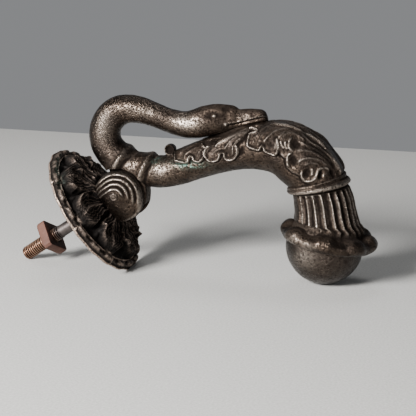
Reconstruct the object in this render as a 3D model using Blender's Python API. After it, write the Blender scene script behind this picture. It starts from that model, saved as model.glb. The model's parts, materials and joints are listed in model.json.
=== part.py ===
"""Swan door knocker: a round cast plate with a through-bolt, and a hinged swan arm that ends in a ball.

The knocker lies on its side on a table, as it does off the door. World +X runs from the bolt to the ball,
+Z is up, the arm swings in the plane Y = 0, and the origin is under the middle of the whole object.
Shapes are drawn in millimetres about the middle of the plate's back face, with x along +X and z up.
"""

from math import cos, pi, radians, sin, sqrt

import bmesh
import bpy
from mathutils import Matrix, Vector

MM = 0.001
GAP = 0.3  # between pieces that touch on the real knocker
CUTTER_REACH = 30.0  # how far a cutter runs to each side of the arm's plane
SHARP_ANGLE = 35.0

# The plate's back face: its middle, and how far its axis leans up from the table.
PLATE_X = -59.23
PLATE_Z = 31.35
AXIS_TILT = radians(35.1)

# Plate.
PLATE_RADIUS = 39.1
RIM_LOBES = 20
SEGMENTS_PER_LOBE = 4
RIM_LOBE_DEPTH = 0.6
LEAVES = 8
LEAF_DEPTH = 1.6
SOCKET_RADIUS = 12.3
SOCKET_FLOOR = 5.2
BOLT_HOLE_RADIUS = 4.6

# Bolt and nut.
THREAD_RADIUS = 4.0
THREAD_ROOT_RADIUS = 3.35
THREAD_PITCH = 1.25
SHANK_RADIUS = 3.6
BOLT_END = -49.8
THREAD_START = -24.0
BOLT_TOP = 9.2
BOLT_CHAMFER = 0.8
THREAD_LEAD = 0.4
NUT_SIDE = 16.6
NUT_THICKNESS = 5.6
NUT_FACE = -27.8
NUT_TURN = radians(57.5)
NUT_CORNER_CUT = 0.9
NUT_CHAMFER_HEIGHT = 1.0

# Fork, pin and the arm's eye.
PIVOT_HEIGHT = 21.8
FORK_FOOT_RADIUS = 12.0
FORK_FOOT_TOP = 15.9
FORK_STEP_FOOT = 14.5
FORK_FOOT_RISE = 0.1
FORK_STEPS = (  # radius about the pin, half width, how far the step sags below the plate's axis
    (14.2, 9.5, 1.3),
    (13.2, 12.2, 0.6),
    (10.9, 13.9, 0.2),
    (7.9, 15.7, 0.0),
    (5.1, 16.9, 0.0),
)
PIN_RADIUS = 2.5
PIN_HEAD_RADIUS = 3.1
PIN_LENGTH = 35.2
PIN_HEAD_CHAMFER = 0.4
EYE_HALF_WIDTH = 5.0
EYE_RADIUS = 10.0
EYE_BOSS_RADIUS = 15.0
EYE_ROOT_RADIUS = 19.0  # where the eye runs into the swan's chest
EYE_ROOT_ANGLES = (28, 112)
EYE_BOSS_ANGLES = (-25, 28)
SLOT_CLEARANCE = 0.4
SLOT_FLOOR_CLEARANCE = 0.6
SLOT_TOP = 60.0
CHEST_CLEARANCE = 15.9

# Arm: (x, z, heading in degrees, half height, half width) along each sweep.
NECK_STATIONS = (
    (24.0, 27.0, 150, 9.2, 9.0),
    (17.5, 30.0, 145, 9.7, 9.5),
    (12.0, 33.8, 136, 9.0, 9.0),
    (8.2, 39.2, 112, 8.7, 8.7),
    (7.2, 45.2, 90, 8.8, 8.7),
    (8.7, 50.7, 68, 8.8, 8.6),
    (12.3, 55.6, 45, 8.8, 8.4),
    (17.0, 58.4, 22, 8.3, 8.0),
    (22.5, 59.3, 3, 7.7, 7.6),
    (29.0, 58.6, -12, 7.0, 7.1),
    (36.0, 56.7, -18, 6.4, 6.7),
    (44.0, 54.0, -14, 6.35, 6.6),
    (52.0, 52.2, -4, 6.9, 7.0),
    (58.0, 52.5, 6, 7.6, 7.6),
    (64.0, 54.2, 12, 8.2, 8.2),
    (70.0, 55.8, 8, 8.3, 8.3),
    (76.0, 56.8, 2, 7.6, 7.6),
    (81.0, 57.3, 0, 6.2, 6.3),
    (84.0, 57.7, 3, 4.9, 5.4),
    (90.0, 58.4, 4, 4.4, 5.0),
    (95.5, 58.8, 4, 4.0, 4.6),
    (98.6, 58.8, 0, 2.5, 3.0),
)
BODY_STATIONS = (
    (13.0, 31.2, -32, 6.0, 6.0),
    (17.5, 30.2, -30, 9.5, 9.3),
    (24.0, 27.2, -22, 10.1, 9.9),
    (32.3, 25.1, -8, 10.5, 10.2),
    (43.0, 25.3, 8, 9.2, 9.6),
    (52.0, 28.4, 18, 9.6, 10.0),
    (60.0, 31.6, 21, 9.9, 10.6),
    (70.0, 35.6, 20, 10.3, 11.5),
    (80.0, 38.9, 15, 10.6, 12.6),
    (90.0, 42.0, 8, 12.4, 13.8),
    (100.0, 43.1, 0, 14.0, 15.0),
    (107.0, 42.5, -11, 14.8, 15.8),
    (112.5, 40.5, -25, 15.3, 16.3),
    (118.5, 36.8, -42, 16.2, 16.6),
    (122.8, 31.8, -57, 15.6, 16.4),
    (125.6, 27.8, -70, 15.5, 16.2),
    (128.1, 23.6, -78, 15.8, 16.0),
)
NECK_RINGS = (  # x, z, heading in degrees, radius of the ring's middle line
    (17.6, 30.1, -32, 9.5),
    (32.3, 25.1, -20, 10.3),
)
NECK_RING_THICKNESS = 1.4
SCROLL_CENTRE = (45.7, 36.9)
SCROLL_RADIUS = 3.7
SCROLL_HALF_WIDTH = 5.0
COLLAR_CENTRE = (128.1, 24.0)
COLLAR_HEADING = -78.5
COLLAR_PROFILE = ((-2.7, 15.6), (-2.0, 17.2), (-0.8, 18.0), (0.8, 18.0), (2.0, 17.2), (2.7, 15.8))
FLUTES = 24
FLUTE_DEPTH = 1.1
CUFF_STATIONS = (
    (129.6, 22.5, -78, 16.2, 16.2),
    (130.5, 19.5, -78.5, 16.2, 16.2),
    (131.4, 15.5, -80, 16.3, 16.3),
    (132.4, 10.5, -84, 16.8, 16.8),
    (133.2, 5.5, -89, 17.8, 17.8),
    (134.0, 0.8, -94, 19.7, 19.7),
    (134.6, -2.2, -97, 21.6, 21.6),
)
SKIRT_CENTRE = (135.1, -5.0)
SKIRT_HEADING = -98.0
SKIRT_LOBES = 8
SKIRT_LOBE_DEPTH = 0.07
SKIRT_LOBE_DROP = 1.5
SKIRT_PROFILE = (  # distance along the skirt's axis, radius, share of the lobes' shape
    (-7.0, 15.0, 0.0),
    (-5.6, 20.6, 0.1),
    (-3.2, 24.2, 0.6),
    (0.0, 26.1, 1.0),
    (2.8, 25.7, 1.0),
    (4.8, 23.8, 1.0),
    (5.2, 12.0, 1.0),
)
BALL_CENTRE = (132.9, -10.2)
BALL_RADIUS = 21.15
SPIGOT_RADIUS = 5.0
SPIGOT_TOP = 31.0
SPIGOT_FOOT = 10.0


def world(x, y, z):
    """A point drawn about the middle of the plate's back, in world metres."""
    return Vector((x + PLATE_X, y, z + PLATE_Z)) * MM


def from_axis(across, side, height):
    """A point given about the plate's axis: up across the plate, towards -Y, and out along the axis."""
    x = height * cos(AXIS_TILT) - across * sin(AXIS_TILT)
    z = height * sin(AXIS_TILT) + across * cos(AXIS_TILT)
    return x, -side, z


PIVOT = from_axis(0, 0, PIVOT_HEIGHT)
PIVOT_X = PIVOT[0]
PIVOT_Z = PIVOT[2]


def material(name, colour, roughness, metallic):
    """A plain Principled material."""
    made = bpy.data.materials.new(name)
    made.use_nodes = True
    shader = made.node_tree.nodes["Principled BSDF"]
    shader.inputs["Base Color"].default_value = (*colour, 1.0)
    shader.inputs["Roughness"].default_value = roughness
    shader.inputs["Metallic"].default_value = metallic
    return made


def guide(name, location, rotation=None):
    """An empty that holds pieces on one axis."""
    empty = bpy.data.objects.new(name, None)
    bpy.context.collection.objects.link(empty)
    empty.location = location
    if rotation:
        empty.rotation_euler = rotation
    return empty


def solid(name, mesh):
    """An object with a mesh whose faces point outwards."""
    edit = bmesh.new()
    edit.from_mesh(mesh)
    bmesh.ops.recalc_face_normals(edit, faces=edit.faces)
    edit.to_mesh(mesh)
    edit.free()
    made = bpy.data.objects.new(name, mesh)
    bpy.context.collection.objects.link(made)
    return made


def loft(name, rings, closed=False):
    """A solid skin over rings of points in metres; a closed loft joins its last ring to its first."""
    count = len(rings[0])
    points = [point for ring in rings for point in ring]
    faces = []
    last = len(rings) if closed else len(rings) - 1
    for row in range(last):
        below = row * count
        above = (row + 1) % len(rings) * count
        for step in range(count):
            after = (step + 1) % count
            faces.append((below + step, below + after, above + after, above + step))
    if not closed:
        faces.append(tuple(reversed(range(count))))
        faces.append(tuple(range((len(rings) - 1) * count, len(rings) * count)))
    mesh = bpy.data.meshes.new(name)
    mesh.from_pydata(points, [], faces)
    return solid(name, mesh)


def boolean(target, tool, operation):
    """Apply one exact Boolean to the target, and remove the tool."""
    modifier = target.modifiers.new(operation.title(), "BOOLEAN")
    modifier.operation = operation
    modifier.object = tool
    graph = bpy.context.evaluated_depsgraph_get()
    result = bpy.data.meshes.new_from_object(target.evaluated_get(graph))
    target.modifiers.clear()
    target.data = result
    bpy.data.objects.remove(tool)
    return target


def join(target, *tools):
    """Fuse the tools into the target."""
    for tool in tools:
        boolean(target, tool, "UNION")
    return target


def cut(target, *tools):
    """Cut the tools out of the target."""
    for tool in tools:
        boolean(target, tool, "DIFFERENCE")
    return target


def place(piece, parent, finish):
    """Put a piece drawn in world metres under its parent, with its origin there, and finish it."""
    bpy.context.view_layer.update()
    to_parent = parent.matrix_world.inverted()
    piece.data.transform(to_parent)
    piece.parent = parent
    piece.data.materials.clear()
    piece.data.materials.append(finish)
    piece.data.shade_smooth()
    piece.data.set_sharp_from_angle(angle=radians(SHARP_ANGLE))
    return piece


def turned(name, profile, segments, centre=(0.0, 0.0), closed=False):
    """A profile of (height, radius) turned about the plate's axis, or a line parallel to it."""
    rings = []
    for height, radius in profile:
        ring = []
        for step in range(segments):
            angle = 2 * pi * step / segments
            across = centre[0] + radius * cos(angle)
            side = centre[1] + radius * sin(angle)
            ring.append(world(*from_axis(across, side, height)))
        rings.append(ring)
    return loft(name, rings, closed)


def swept(name, stations, segments, shape=None):
    """Elliptical sections along the arm; shape may scale each point of a section by its angle."""
    rings = []
    for x, z, heading, half_height, half_width in stations:
        lean = radians(heading)
        ring = []
        for step in range(segments):
            angle = 2 * pi * step / segments
            scale = shape(angle, half_height) if shape else 1.0
            up = half_height * scale * cos(angle)
            side = half_width * scale * sin(angle)
            ring.append(world(x - sin(lean) * up, side, z + cos(lean) * up))
        rings.append(ring)
    return loft(name, rings)


def cylinder_across(name, x, z, radius, half_width, segments=48):
    """A cylinder along Y."""
    rings = []
    for y in (-half_width, half_width):
        ring = []
        for step in range(segments):
            angle = 2 * pi * step / segments
            ring.append(world(x + radius * cos(angle), y, z + radius * sin(angle)))
        rings.append(ring)
    return loft(name, rings)


def sphere(name, x, z, radius, segments, rings):
    """A ball in the arm's plane."""
    edit = bmesh.new()
    where = Matrix.Translation(world(x, 0, z)) @ Matrix.Rotation(radians(90), 4, "X")
    bmesh.ops.create_uvsphere(edit, u_segments=segments, v_segments=rings, radius=radius * MM, matrix=where)
    mesh = bpy.data.meshes.new(name)
    edit.to_mesh(mesh)
    edit.free()
    return solid(name, mesh)


def rosette():
    """The cast plate: lobed rim, a ring of leaves that rises to the fork's socket, and a hollow back."""
    segments = RIM_LOBES * SEGMENTS_PER_LOBE
    profile = (  # height, radius, share of the rim's lobes, share of the leaves
        (0.0, 33.4, 0, 0), (0.0, 38.65, 1, 0), (0.9, PLATE_RADIUS, 1, 0), (2.2, 38.7, 1, 0),
        (4.0, 37.0, 0.5, 0), (5.2, 35.6, 0.5, 0), (4.6, 34.2, 0, 0.2), (6.2, 32.4, 0, 0.5),
        (10.2, 29.6, 0, 1), (11.4, 25.0, 0, 1), (12.2, 20.0, 0, 0.8), (14.0, 15.6, 0, 0.3),
        (13.0, 13.0, 0, 0), (12.4, SOCKET_RADIUS, 0, 0), (SOCKET_FLOOR, SOCKET_RADIUS, 0, 0),
        (SOCKET_FLOOR, BOLT_HOLE_RADIUS, 0, 0), (0.0, BOLT_HOLE_RADIUS, 0, 0), (0.0, 14.2, 0, 0),
        (6.6, 14.8, 0, 0), (6.2, 28.0, 0, 0), (2.4, 32.4, 0, 0),
    )
    rings = []
    for height, radius, rim, leaf in profile:
        ring = []
        for step in range(segments):
            angle = 2 * pi * (step + 0.5) / segments
            lobe = RIM_LOBE_DEPTH * rim * (1 + cos(RIM_LOBES * angle)) / 2
            groove = LEAF_DEPTH * leaf * (1 - cos(LEAVES * angle)) / 2
            around = radius - lobe
            point = from_axis(around * cos(angle), around * sin(angle), height - groove)
            ring.append(world(*point))
        rings.append(ring)
    return loft("rosette", rings, closed=True)


def fork_step(radius, half_width, sag, foot):
    """A slice of the fork: round over the pin, with straight flanks down to its foot."""
    arc_steps = 20
    outline = [(foot, -radius)]
    for step in range(arc_steps + 1):
        angle = -pi / 2 + pi * step / arc_steps
        outline.append((PIVOT_HEIGHT + radius * cos(angle), radius * sin(angle)))
    outline.append((foot, radius))
    rings = []
    for side in (-half_width, half_width):
        rings.append([world(*from_axis(across - sag, side, height)) for height, across in outline])
    return loft("fork_step", rings)


def pivot_fork():
    """The stepped knuckle that carries the pin: a foot in the plate's socket and two cheeks."""
    foot_profile = ((SOCKET_FLOOR + GAP, FORK_FOOT_RADIUS), (FORK_FOOT_TOP, FORK_FOOT_RADIUS))
    foot = turned("pivot_fork", foot_profile, 48)
    for number, (radius, half_width, sag) in enumerate(FORK_STEPS):
        join(foot, fork_step(radius, half_width, sag, FORK_STEP_FOOT + FORK_FOOT_RISE * number))
    slot_floor = PIVOT_HEIGHT - EYE_RADIUS - SLOT_FLOOR_CLEARANCE
    half_slot = EYE_HALF_WIDTH + SLOT_CLEARANCE
    reach = CUTTER_REACH
    corners = ((-reach, slot_floor), (reach, slot_floor), (reach, SLOT_TOP), (-reach, SLOT_TOP))
    slot_rings = []
    for side in (-half_slot, half_slot):
        slot_rings.append([world(*from_axis(across, side, height)) for across, height in corners])
    slot = loft("slot", slot_rings)
    pin_hole = cylinder_across("pin_hole", PIVOT_X, PIVOT_Z, PIN_RADIUS + GAP, CUTTER_REACH, 32)
    hole_radius = THREAD_RADIUS + GAP
    stud_hole = turned("stud_hole", ((-1.0, hole_radius), (BOLT_TOP + GAP, hole_radius)), 32)
    return cut(foot, slot, pin_hole, stud_hole)


def threaded_stud():
    """The bolt: threaded at its free end and where it screws into the fork, plain between."""
    profile = [(BOLT_END, THREAD_ROOT_RADIUS - 0.3)]
    turns = int((THREAD_START - BOLT_END) / THREAD_PITCH)
    for turn in range(turns):
        start = BOLT_END + THREAD_LEAD + turn * THREAD_PITCH
        profile.append((start, THREAD_ROOT_RADIUS))
        profile.append((start + 0.5 * THREAD_PITCH, THREAD_RADIUS))
    profile.append((THREAD_START, THREAD_ROOT_RADIUS))
    profile.append((THREAD_START + 1.0, SHANK_RADIUS))
    profile.append((BOLT_TOP - BOLT_CHAMFER, SHANK_RADIUS))
    profile.append((BOLT_TOP, SHANK_RADIUS - BOLT_CHAMFER))
    return turned("threaded_stud", profile, 16)


def square_nut():
    """The square nut on the stud, with its corners knocked off on the far face."""
    half = NUT_SIDE / 2
    rings = []
    far_face = NUT_FACE - NUT_THICKNESS
    levels = ((NUT_FACE, 0.0), (far_face + NUT_CHAMFER_HEIGHT, 0.0), (far_face, NUT_CORNER_CUT))
    for height, shrink in levels:
        ring = []
        for corner in range(4):
            angle = NUT_TURN + pi / 4 + corner * pi / 2
            reach = (half - shrink) * sqrt(2)
            ring.append(world(*from_axis(reach * cos(angle), reach * sin(angle), height)))
        rings.append(ring)
    nut = loft("square_nut", rings)
    ends = ((NUT_FACE + 2, THREAD_RADIUS + GAP), (far_face - 2, THREAD_RADIUS + GAP))
    return cut(nut, turned("nut_hole", ends, 24))


def hinge_pin():
    """The pin through the fork and the arm's eye, with a low riveted head at each end."""
    half = PIN_LENGTH / 2
    head = GAP + FORK_STEPS[-1][1]
    profile = (
        (-half, PIN_RADIUS * 0.6), (-half + PIN_HEAD_CHAMFER, PIN_HEAD_RADIUS),
        (-head, PIN_HEAD_RADIUS), (-head, PIN_RADIUS), (head, PIN_RADIUS), (head, PIN_HEAD_RADIUS),
        (half - PIN_HEAD_CHAMFER, PIN_HEAD_RADIUS), (half, PIN_RADIUS * 0.6),
    )
    segments = 32
    rings = []
    for y, radius in profile:
        ring = []
        for step in range(segments):
            angle = 2 * pi * step / segments
            ring.append(world(PIVOT_X + radius * cos(angle), y, PIVOT_Z + radius * sin(angle)))
        rings.append(ring)
    return loft("hinge_pin", rings)


def eye_radius(angle):
    """The eye's outline about the pin: small towards the plate, larger where it carries the arm."""
    if EYE_ROOT_ANGLES[0] <= angle <= EYE_ROOT_ANGLES[1]:
        return EYE_ROOT_RADIUS
    if EYE_BOSS_ANGLES[0] <= angle < EYE_BOSS_ANGLES[1]:
        return EYE_BOSS_RADIUS
    return EYE_RADIUS


def arm_eye():
    """The flat eye of the arm, which turns between the fork's cheeks."""
    outline = []
    first = -30
    for angle in range(first, first + 360, 5):
        radius = eye_radius(angle)
        x = PIVOT_X + radius * cos(radians(angle))
        z = PIVOT_Z + radius * sin(radians(angle))
        outline.append((x, z))
    rings = []
    for y in (-EYE_HALF_WIDTH, EYE_HALF_WIDTH):
        rings.append([world(x, y, z) for x, z in outline])
    return loft("arm_eye", rings)


def neck_ring(x, z, heading, radius):
    """A raised band round the swan's neck."""
    lean = radians(heading)
    around = 24
    section = 6
    rings = []
    for step in range(around):
        angle = 2 * pi * step / around
        ring = []
        for part in range(section):
            turn = 2 * pi * part / section
            reach = radius + NECK_RING_THICKNESS * cos(turn)
            along = NECK_RING_THICKNESS * sin(turn)
            up = reach * cos(angle)
            ring.append(world(x - sin(lean) * up + cos(lean) * along, reach * sin(angle),
                              z + cos(lean) * up + sin(lean) * along))
        rings.append(ring)
    return loft("neck_ring", rings, closed=True)


def arm_profile_stations(centre, heading, profile):
    """Stations for a shape turned about a line through the arm's plane."""
    lean = radians(heading)
    stations = []
    for along, radius in profile:
        x = centre[0] + cos(lean) * along
        z = centre[1] + sin(lean) * along
        stations.append((x, z, heading, radius, radius))
    return stations


def flute(angle, radius):
    """Concave flutes with narrow ridges between them."""
    return 1 - FLUTE_DEPTH / radius * (1 - cos(FLUTES * angle)) / 2


def skirt():
    """The cuff's lobed lip, which wraps the top of the ball."""
    lean = radians(SKIRT_HEADING)
    segments = SKIRT_LOBES * 6
    rings = []
    for along, radius, share in SKIRT_PROFILE:
        ring = []
        for step in range(segments):
            angle = 2 * pi * step / segments
            valley = share * (1 - cos(SKIRT_LOBES * angle)) / 2
            reach = radius * (1 - SKIRT_LOBE_DEPTH * valley)
            down = along - (SKIRT_LOBE_DROP * valley if along > 0 else 0)
            up = reach * cos(angle)
            ring.append(world(SKIRT_CENTRE[0] - sin(lean) * up + cos(lean) * down, reach * sin(angle),
                              SKIRT_CENTRE[1] + cos(lean) * up + sin(lean) * down))
        rings.append(ring)
    return loft("skirt", rings)


def swan_arm():
    """The swan in one casting: neck loop, head, body, collar, fluted cuff, lobed lip and hinge eye."""
    arm = swept("swan_arm", BODY_STATIONS, 24)
    join(arm, swept("neck", NECK_STATIONS, 20))
    for ring in NECK_RINGS:
        join(arm, neck_ring(*ring))
    cut(arm, cylinder_across("fork_room", PIVOT_X, PIVOT_Z, CHEST_CLEARANCE, CUTTER_REACH, 56))
    join(arm, arm_eye())
    cut(arm, cylinder_across("eye_bore", PIVOT_X, PIVOT_Z, PIN_RADIUS + GAP, CUTTER_REACH, 32))
    join(arm, cylinder_across("scroll", *SCROLL_CENTRE, SCROLL_RADIUS, SCROLL_HALF_WIDTH, 24))
    join(arm, swept("cuff", CUFF_STATIONS, FLUTES * 3, flute))
    join(arm, swept("collar", arm_profile_stations(COLLAR_CENTRE, COLLAR_HEADING, COLLAR_PROFILE), 40))
    join(arm, skirt())
    cut(arm, sphere("ball_seat", *BALL_CENTRE, BALL_RADIUS + GAP, 32, 16))
    ends = ((-SPIGOT_TOP - GAP, SPIGOT_RADIUS + GAP), (-SPIGOT_FOOT, SPIGOT_RADIUS + GAP))
    cut(arm, swept("spigot_room", arm_profile_stations(BALL_CENTRE, SKIRT_HEADING, ends), 24))
    return arm


def striker_ball():
    """The solid ball that strikes the door, with the spigot that holds it in the cuff."""
    ball = sphere("striker_ball", *BALL_CENTRE, BALL_RADIUS, 32, 16)
    ends = ((-SPIGOT_TOP, SPIGOT_RADIUS), (-SPIGOT_FOOT, SPIGOT_RADIUS))
    return join(ball, swept("spigot", arm_profile_stations(BALL_CENTRE, SKIRT_HEADING, ends), 24))


def main():
    for old in list(bpy.data.objects):
        bpy.data.objects.remove(old)
    bronze = material("dark bronze", (0.16, 0.12, 0.09), 0.35, 1.0)
    black_bronze = material("blackened bronze", (0.05, 0.045, 0.04), 0.45, 1.0)
    iron = material("old iron", (0.30, 0.25, 0.22), 0.5, 1.0)
    rusty_iron = material("rusty iron", (0.42, 0.26, 0.20), 0.75, 0.4)
    dull_bronze = material("dull bronze", (0.15, 0.12, 0.10), 0.5, 1.0)

    plate_axis = guide("plate_axis", world(0, 0, 0), (0.0, pi / 2 - AXIS_TILT, 0.0))
    arm_pivot = guide("arm_pivot", world(*PIVOT))

    place(rosette(), plate_axis, black_bronze)
    place(pivot_fork(), plate_axis, bronze)
    place(threaded_stud(), plate_axis, iron)
    place(square_nut(), plate_axis, rusty_iron)
    place(hinge_pin(), plate_axis, bronze)
    place(swan_arm(), arm_pivot, bronze)
    place(striker_ball(), arm_pivot, dull_bronze)


main()
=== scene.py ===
"""The looks of the swan door knocker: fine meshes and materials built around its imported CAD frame.

Shapes are drawn in millimetres about the middle of the plate's back face, x along +X and z up,
and carried to the frame's metres by world(). The arm's plane is y = 0 and both flanks are alike.
"""

import json
from math import cos, pi, radians, sin, sqrt

import bmesh
import bpy
import numpy as np
from mathutils import Matrix, Vector, noise

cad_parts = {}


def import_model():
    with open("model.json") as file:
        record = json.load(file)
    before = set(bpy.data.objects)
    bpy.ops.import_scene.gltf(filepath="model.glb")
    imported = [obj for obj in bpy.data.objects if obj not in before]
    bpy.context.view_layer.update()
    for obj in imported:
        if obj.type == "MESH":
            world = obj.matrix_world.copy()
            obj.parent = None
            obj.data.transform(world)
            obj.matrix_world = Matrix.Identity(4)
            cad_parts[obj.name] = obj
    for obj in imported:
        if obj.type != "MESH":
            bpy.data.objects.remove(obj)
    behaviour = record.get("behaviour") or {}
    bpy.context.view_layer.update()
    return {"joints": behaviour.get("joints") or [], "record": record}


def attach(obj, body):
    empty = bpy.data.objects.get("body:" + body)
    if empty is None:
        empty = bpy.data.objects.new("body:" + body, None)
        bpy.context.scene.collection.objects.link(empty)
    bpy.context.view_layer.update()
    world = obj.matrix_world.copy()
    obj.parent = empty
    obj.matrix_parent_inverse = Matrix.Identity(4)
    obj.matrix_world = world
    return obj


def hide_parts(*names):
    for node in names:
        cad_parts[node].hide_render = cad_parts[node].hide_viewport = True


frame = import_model()

MM = 0.001
PLATE_BODY = "wall_plate"
ARM_BODY = "knocker_arm"

# Where the frame puts the pin and the plate's axis.
JOINT = frame["joints"][0]
PIVOT_HEIGHT = 21.8
PIVOT_WORLD = np.array(JOINT["pos_m"]) / MM
DOOR_FACE = [mount for mount in frame["record"]["mounts"] if mount["name"] == "door_face"][0]
AXIS = -np.array(DOOR_FACE["axis"])
ACROSS = np.array((-AXIS[2], 0.0, AXIS[0]))
PLATE_WORLD = PIVOT_WORLD - AXIS * PIVOT_HEIGHT
PIVOT = PIVOT_WORLD - PLATE_WORLD
TABLE = -PLATE_WORLD[2]

RNG = np.random.default_rng(7)
WELD = 0.002  # points closer than this, in mm, are joined


# ---------------------------------------------------------------- helpers

def world(points):
    """Millimetres about the plate's back, to the frame's metres."""
    return (np.asarray(points, float) + PLATE_WORLD) * MM


def on_axis(across, side, height):
    """Points given across the plate, towards -Y and out along its axis, as x, y, z in millimetres."""
    across, side, height = np.broadcast_arrays(across, side, height)
    flat = across[..., None] * ACROSS + height[..., None] * AXIS
    flat[..., 1] -= side
    return flat


def round_axis(radius, around, height):
    """Points at a distance from the plate's axis, at an angle round it and a height along it."""
    return on_axis(radius * np.cos(around), radius * np.sin(around), height)


def angles(count):
    """Evenly spaced angles round a full turn."""
    return np.linspace(0, 2 * pi, count, endpoint=False)


def turned(centre, profile, around):
    """Rings round a line along Y through centre, given as x and z, from a profile of y and radius."""
    rings = []
    for y, radius in profile:
        x = centre[0] + radius * np.cos(around)
        z = centre[1] + radius * np.sin(around)
        rings.append(np.stack((x, np.full(around.shape, y), z), -1))
    return np.stack(rings)


def smooth_line(points, per):
    """A Catmull-Rom curve through points with any number of columns, in per steps from each to the next."""
    points = np.asarray(points, float)
    padded = np.vstack((2 * points[0] - points[1], points, 2 * points[-1] - points[-2]))
    steps = np.linspace(0, 1, per, endpoint=False)[:, None]
    pieces = []
    for index in range(len(points) - 1):
        a, b, c, d = padded[index:index + 4]
        pieces.append(0.5 * (2 * b + (c - a) * steps + (2 * a - 5 * b + 4 * c - d) * steps ** 2
                             + (3 * b - a - 3 * c + d) * steps ** 3))
    pieces.append(points[-1:])
    return np.vstack(pieces)


def distance_to(x, z, line):
    """Distance of each (x, z) from a polyline, and how far along it the nearest point is, 0 to 1."""
    best = np.full(x.shape, 1e9)
    where = np.zeros(x.shape)
    pieces = len(line) - 1
    for index in range(pieces):
        ax, az = line[index]
        dx, dz = line[index + 1] - line[index]
        along = np.clip(((x - ax) * dx + (z - az) * dz) / max(dx * dx + dz * dz, 1e-9), 0, 1)
        gap = np.hypot(x - ax - along * dx, z - az - along * dz)
        nearer = gap < best
        best = np.where(nearer, gap, best)
        where = np.where(nearer, (index + along) / pieces, where)
    return best, where


def inside(x, z, outline):
    """Whether each (x, z) lies in a closed outline."""
    result = np.zeros(x.shape, bool)
    for (ax, az), (bx, bz) in zip(outline, np.roll(outline, -1, axis=0)):
        crosses = (az > z) != (bz > z)
        edge = (bx - ax) * (z - az) / np.where(bz == az, 1e-9, bz - az) + ax
        result ^= crosses & (x < edge)
    return result


def step(edge_low, edge_high, value):
    """Smoothstep."""
    t = np.clip((value - edge_low) / (edge_high - edge_low), 0, 1)
    return t * t * (3 - 2 * t)


def bell(value, centre, width):
    """A smooth bump of height 1."""
    return np.exp(-((value - centre) / width) ** 2)


def grid_normals(points):
    """Unit normals of a grid of points whose columns run round and close."""
    along = np.gradient(points, axis=0)
    around = (np.roll(points, -1, axis=1) - np.roll(points, 1, axis=1)) / 2
    normal = np.cross(along, around)
    size = np.linalg.norm(normal, axis=2, keepdims=True)
    return normal / np.where(size < 1e-9, 1, size)


def grid_faces(rows, columns, wrap):
    """Quads of a grid of rows by columns."""
    across = columns if wrap else columns - 1
    r, c = np.meshgrid(np.arange(rows - 1), np.arange(across), indexing="ij")
    here = r * columns + c
    after = r * columns + (c + 1) % columns
    return np.stack((here, after, after + columns, here + columns), -1).reshape(-1, 4).tolist()


def capped_grid(points):
    """Faces for a grid whose columns close on themselves, with both ends capped."""
    rows, columns = points.shape[:2]
    faces = grid_faces(rows, columns, True)
    faces.append(list(range(columns - 1, -1, -1)))
    faces.append(list(range((rows - 1) * columns, rows * columns)))
    return faces


def piece(name, points, faces, finish, values, sharp=None):
    """A mesh object in the frame, closed up, with faces outwards and per-point values for its material."""
    mesh = bpy.data.meshes.new(name)
    mesh.from_pydata(world(points).reshape(-1, 3).tolist(), [], faces)
    for label, value in values.items():
        layer = mesh.attributes.new(label, "FLOAT", "POINT")
        spread = np.broadcast_to(value, points.shape[:-1])
        layer.data.foreach_set("value", spread.astype(np.float32).ravel())
    edit = bmesh.new()
    edit.from_mesh(mesh)
    bmesh.ops.remove_doubles(edit, verts=edit.verts, dist=WELD * MM)
    bmesh.ops.recalc_face_normals(edit, faces=edit.faces)
    edit.to_mesh(mesh)
    edit.free()
    mesh.shade_smooth()
    if sharp:
        mesh.set_sharp_from_angle(angle=radians(sharp))
    mesh.materials.append(finish)
    made = bpy.data.objects.new(name, mesh)
    bpy.context.scene.collection.objects.link(made)
    return made


def bronze_piece(name, points, faces, finish, wear_and_highlight=0.0, dirt_and_shade=0.0, green=0.0, sharp=None):
    """A piece with the three values that cast_bronze() reads."""
    return piece(name, points, faces, finish, {"wear_and_highlight": wear_and_highlight, "dirt_and_shade": dirt_and_shade, "green": green}, sharp)


# ---------------------------------------------------------------- materials

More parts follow.
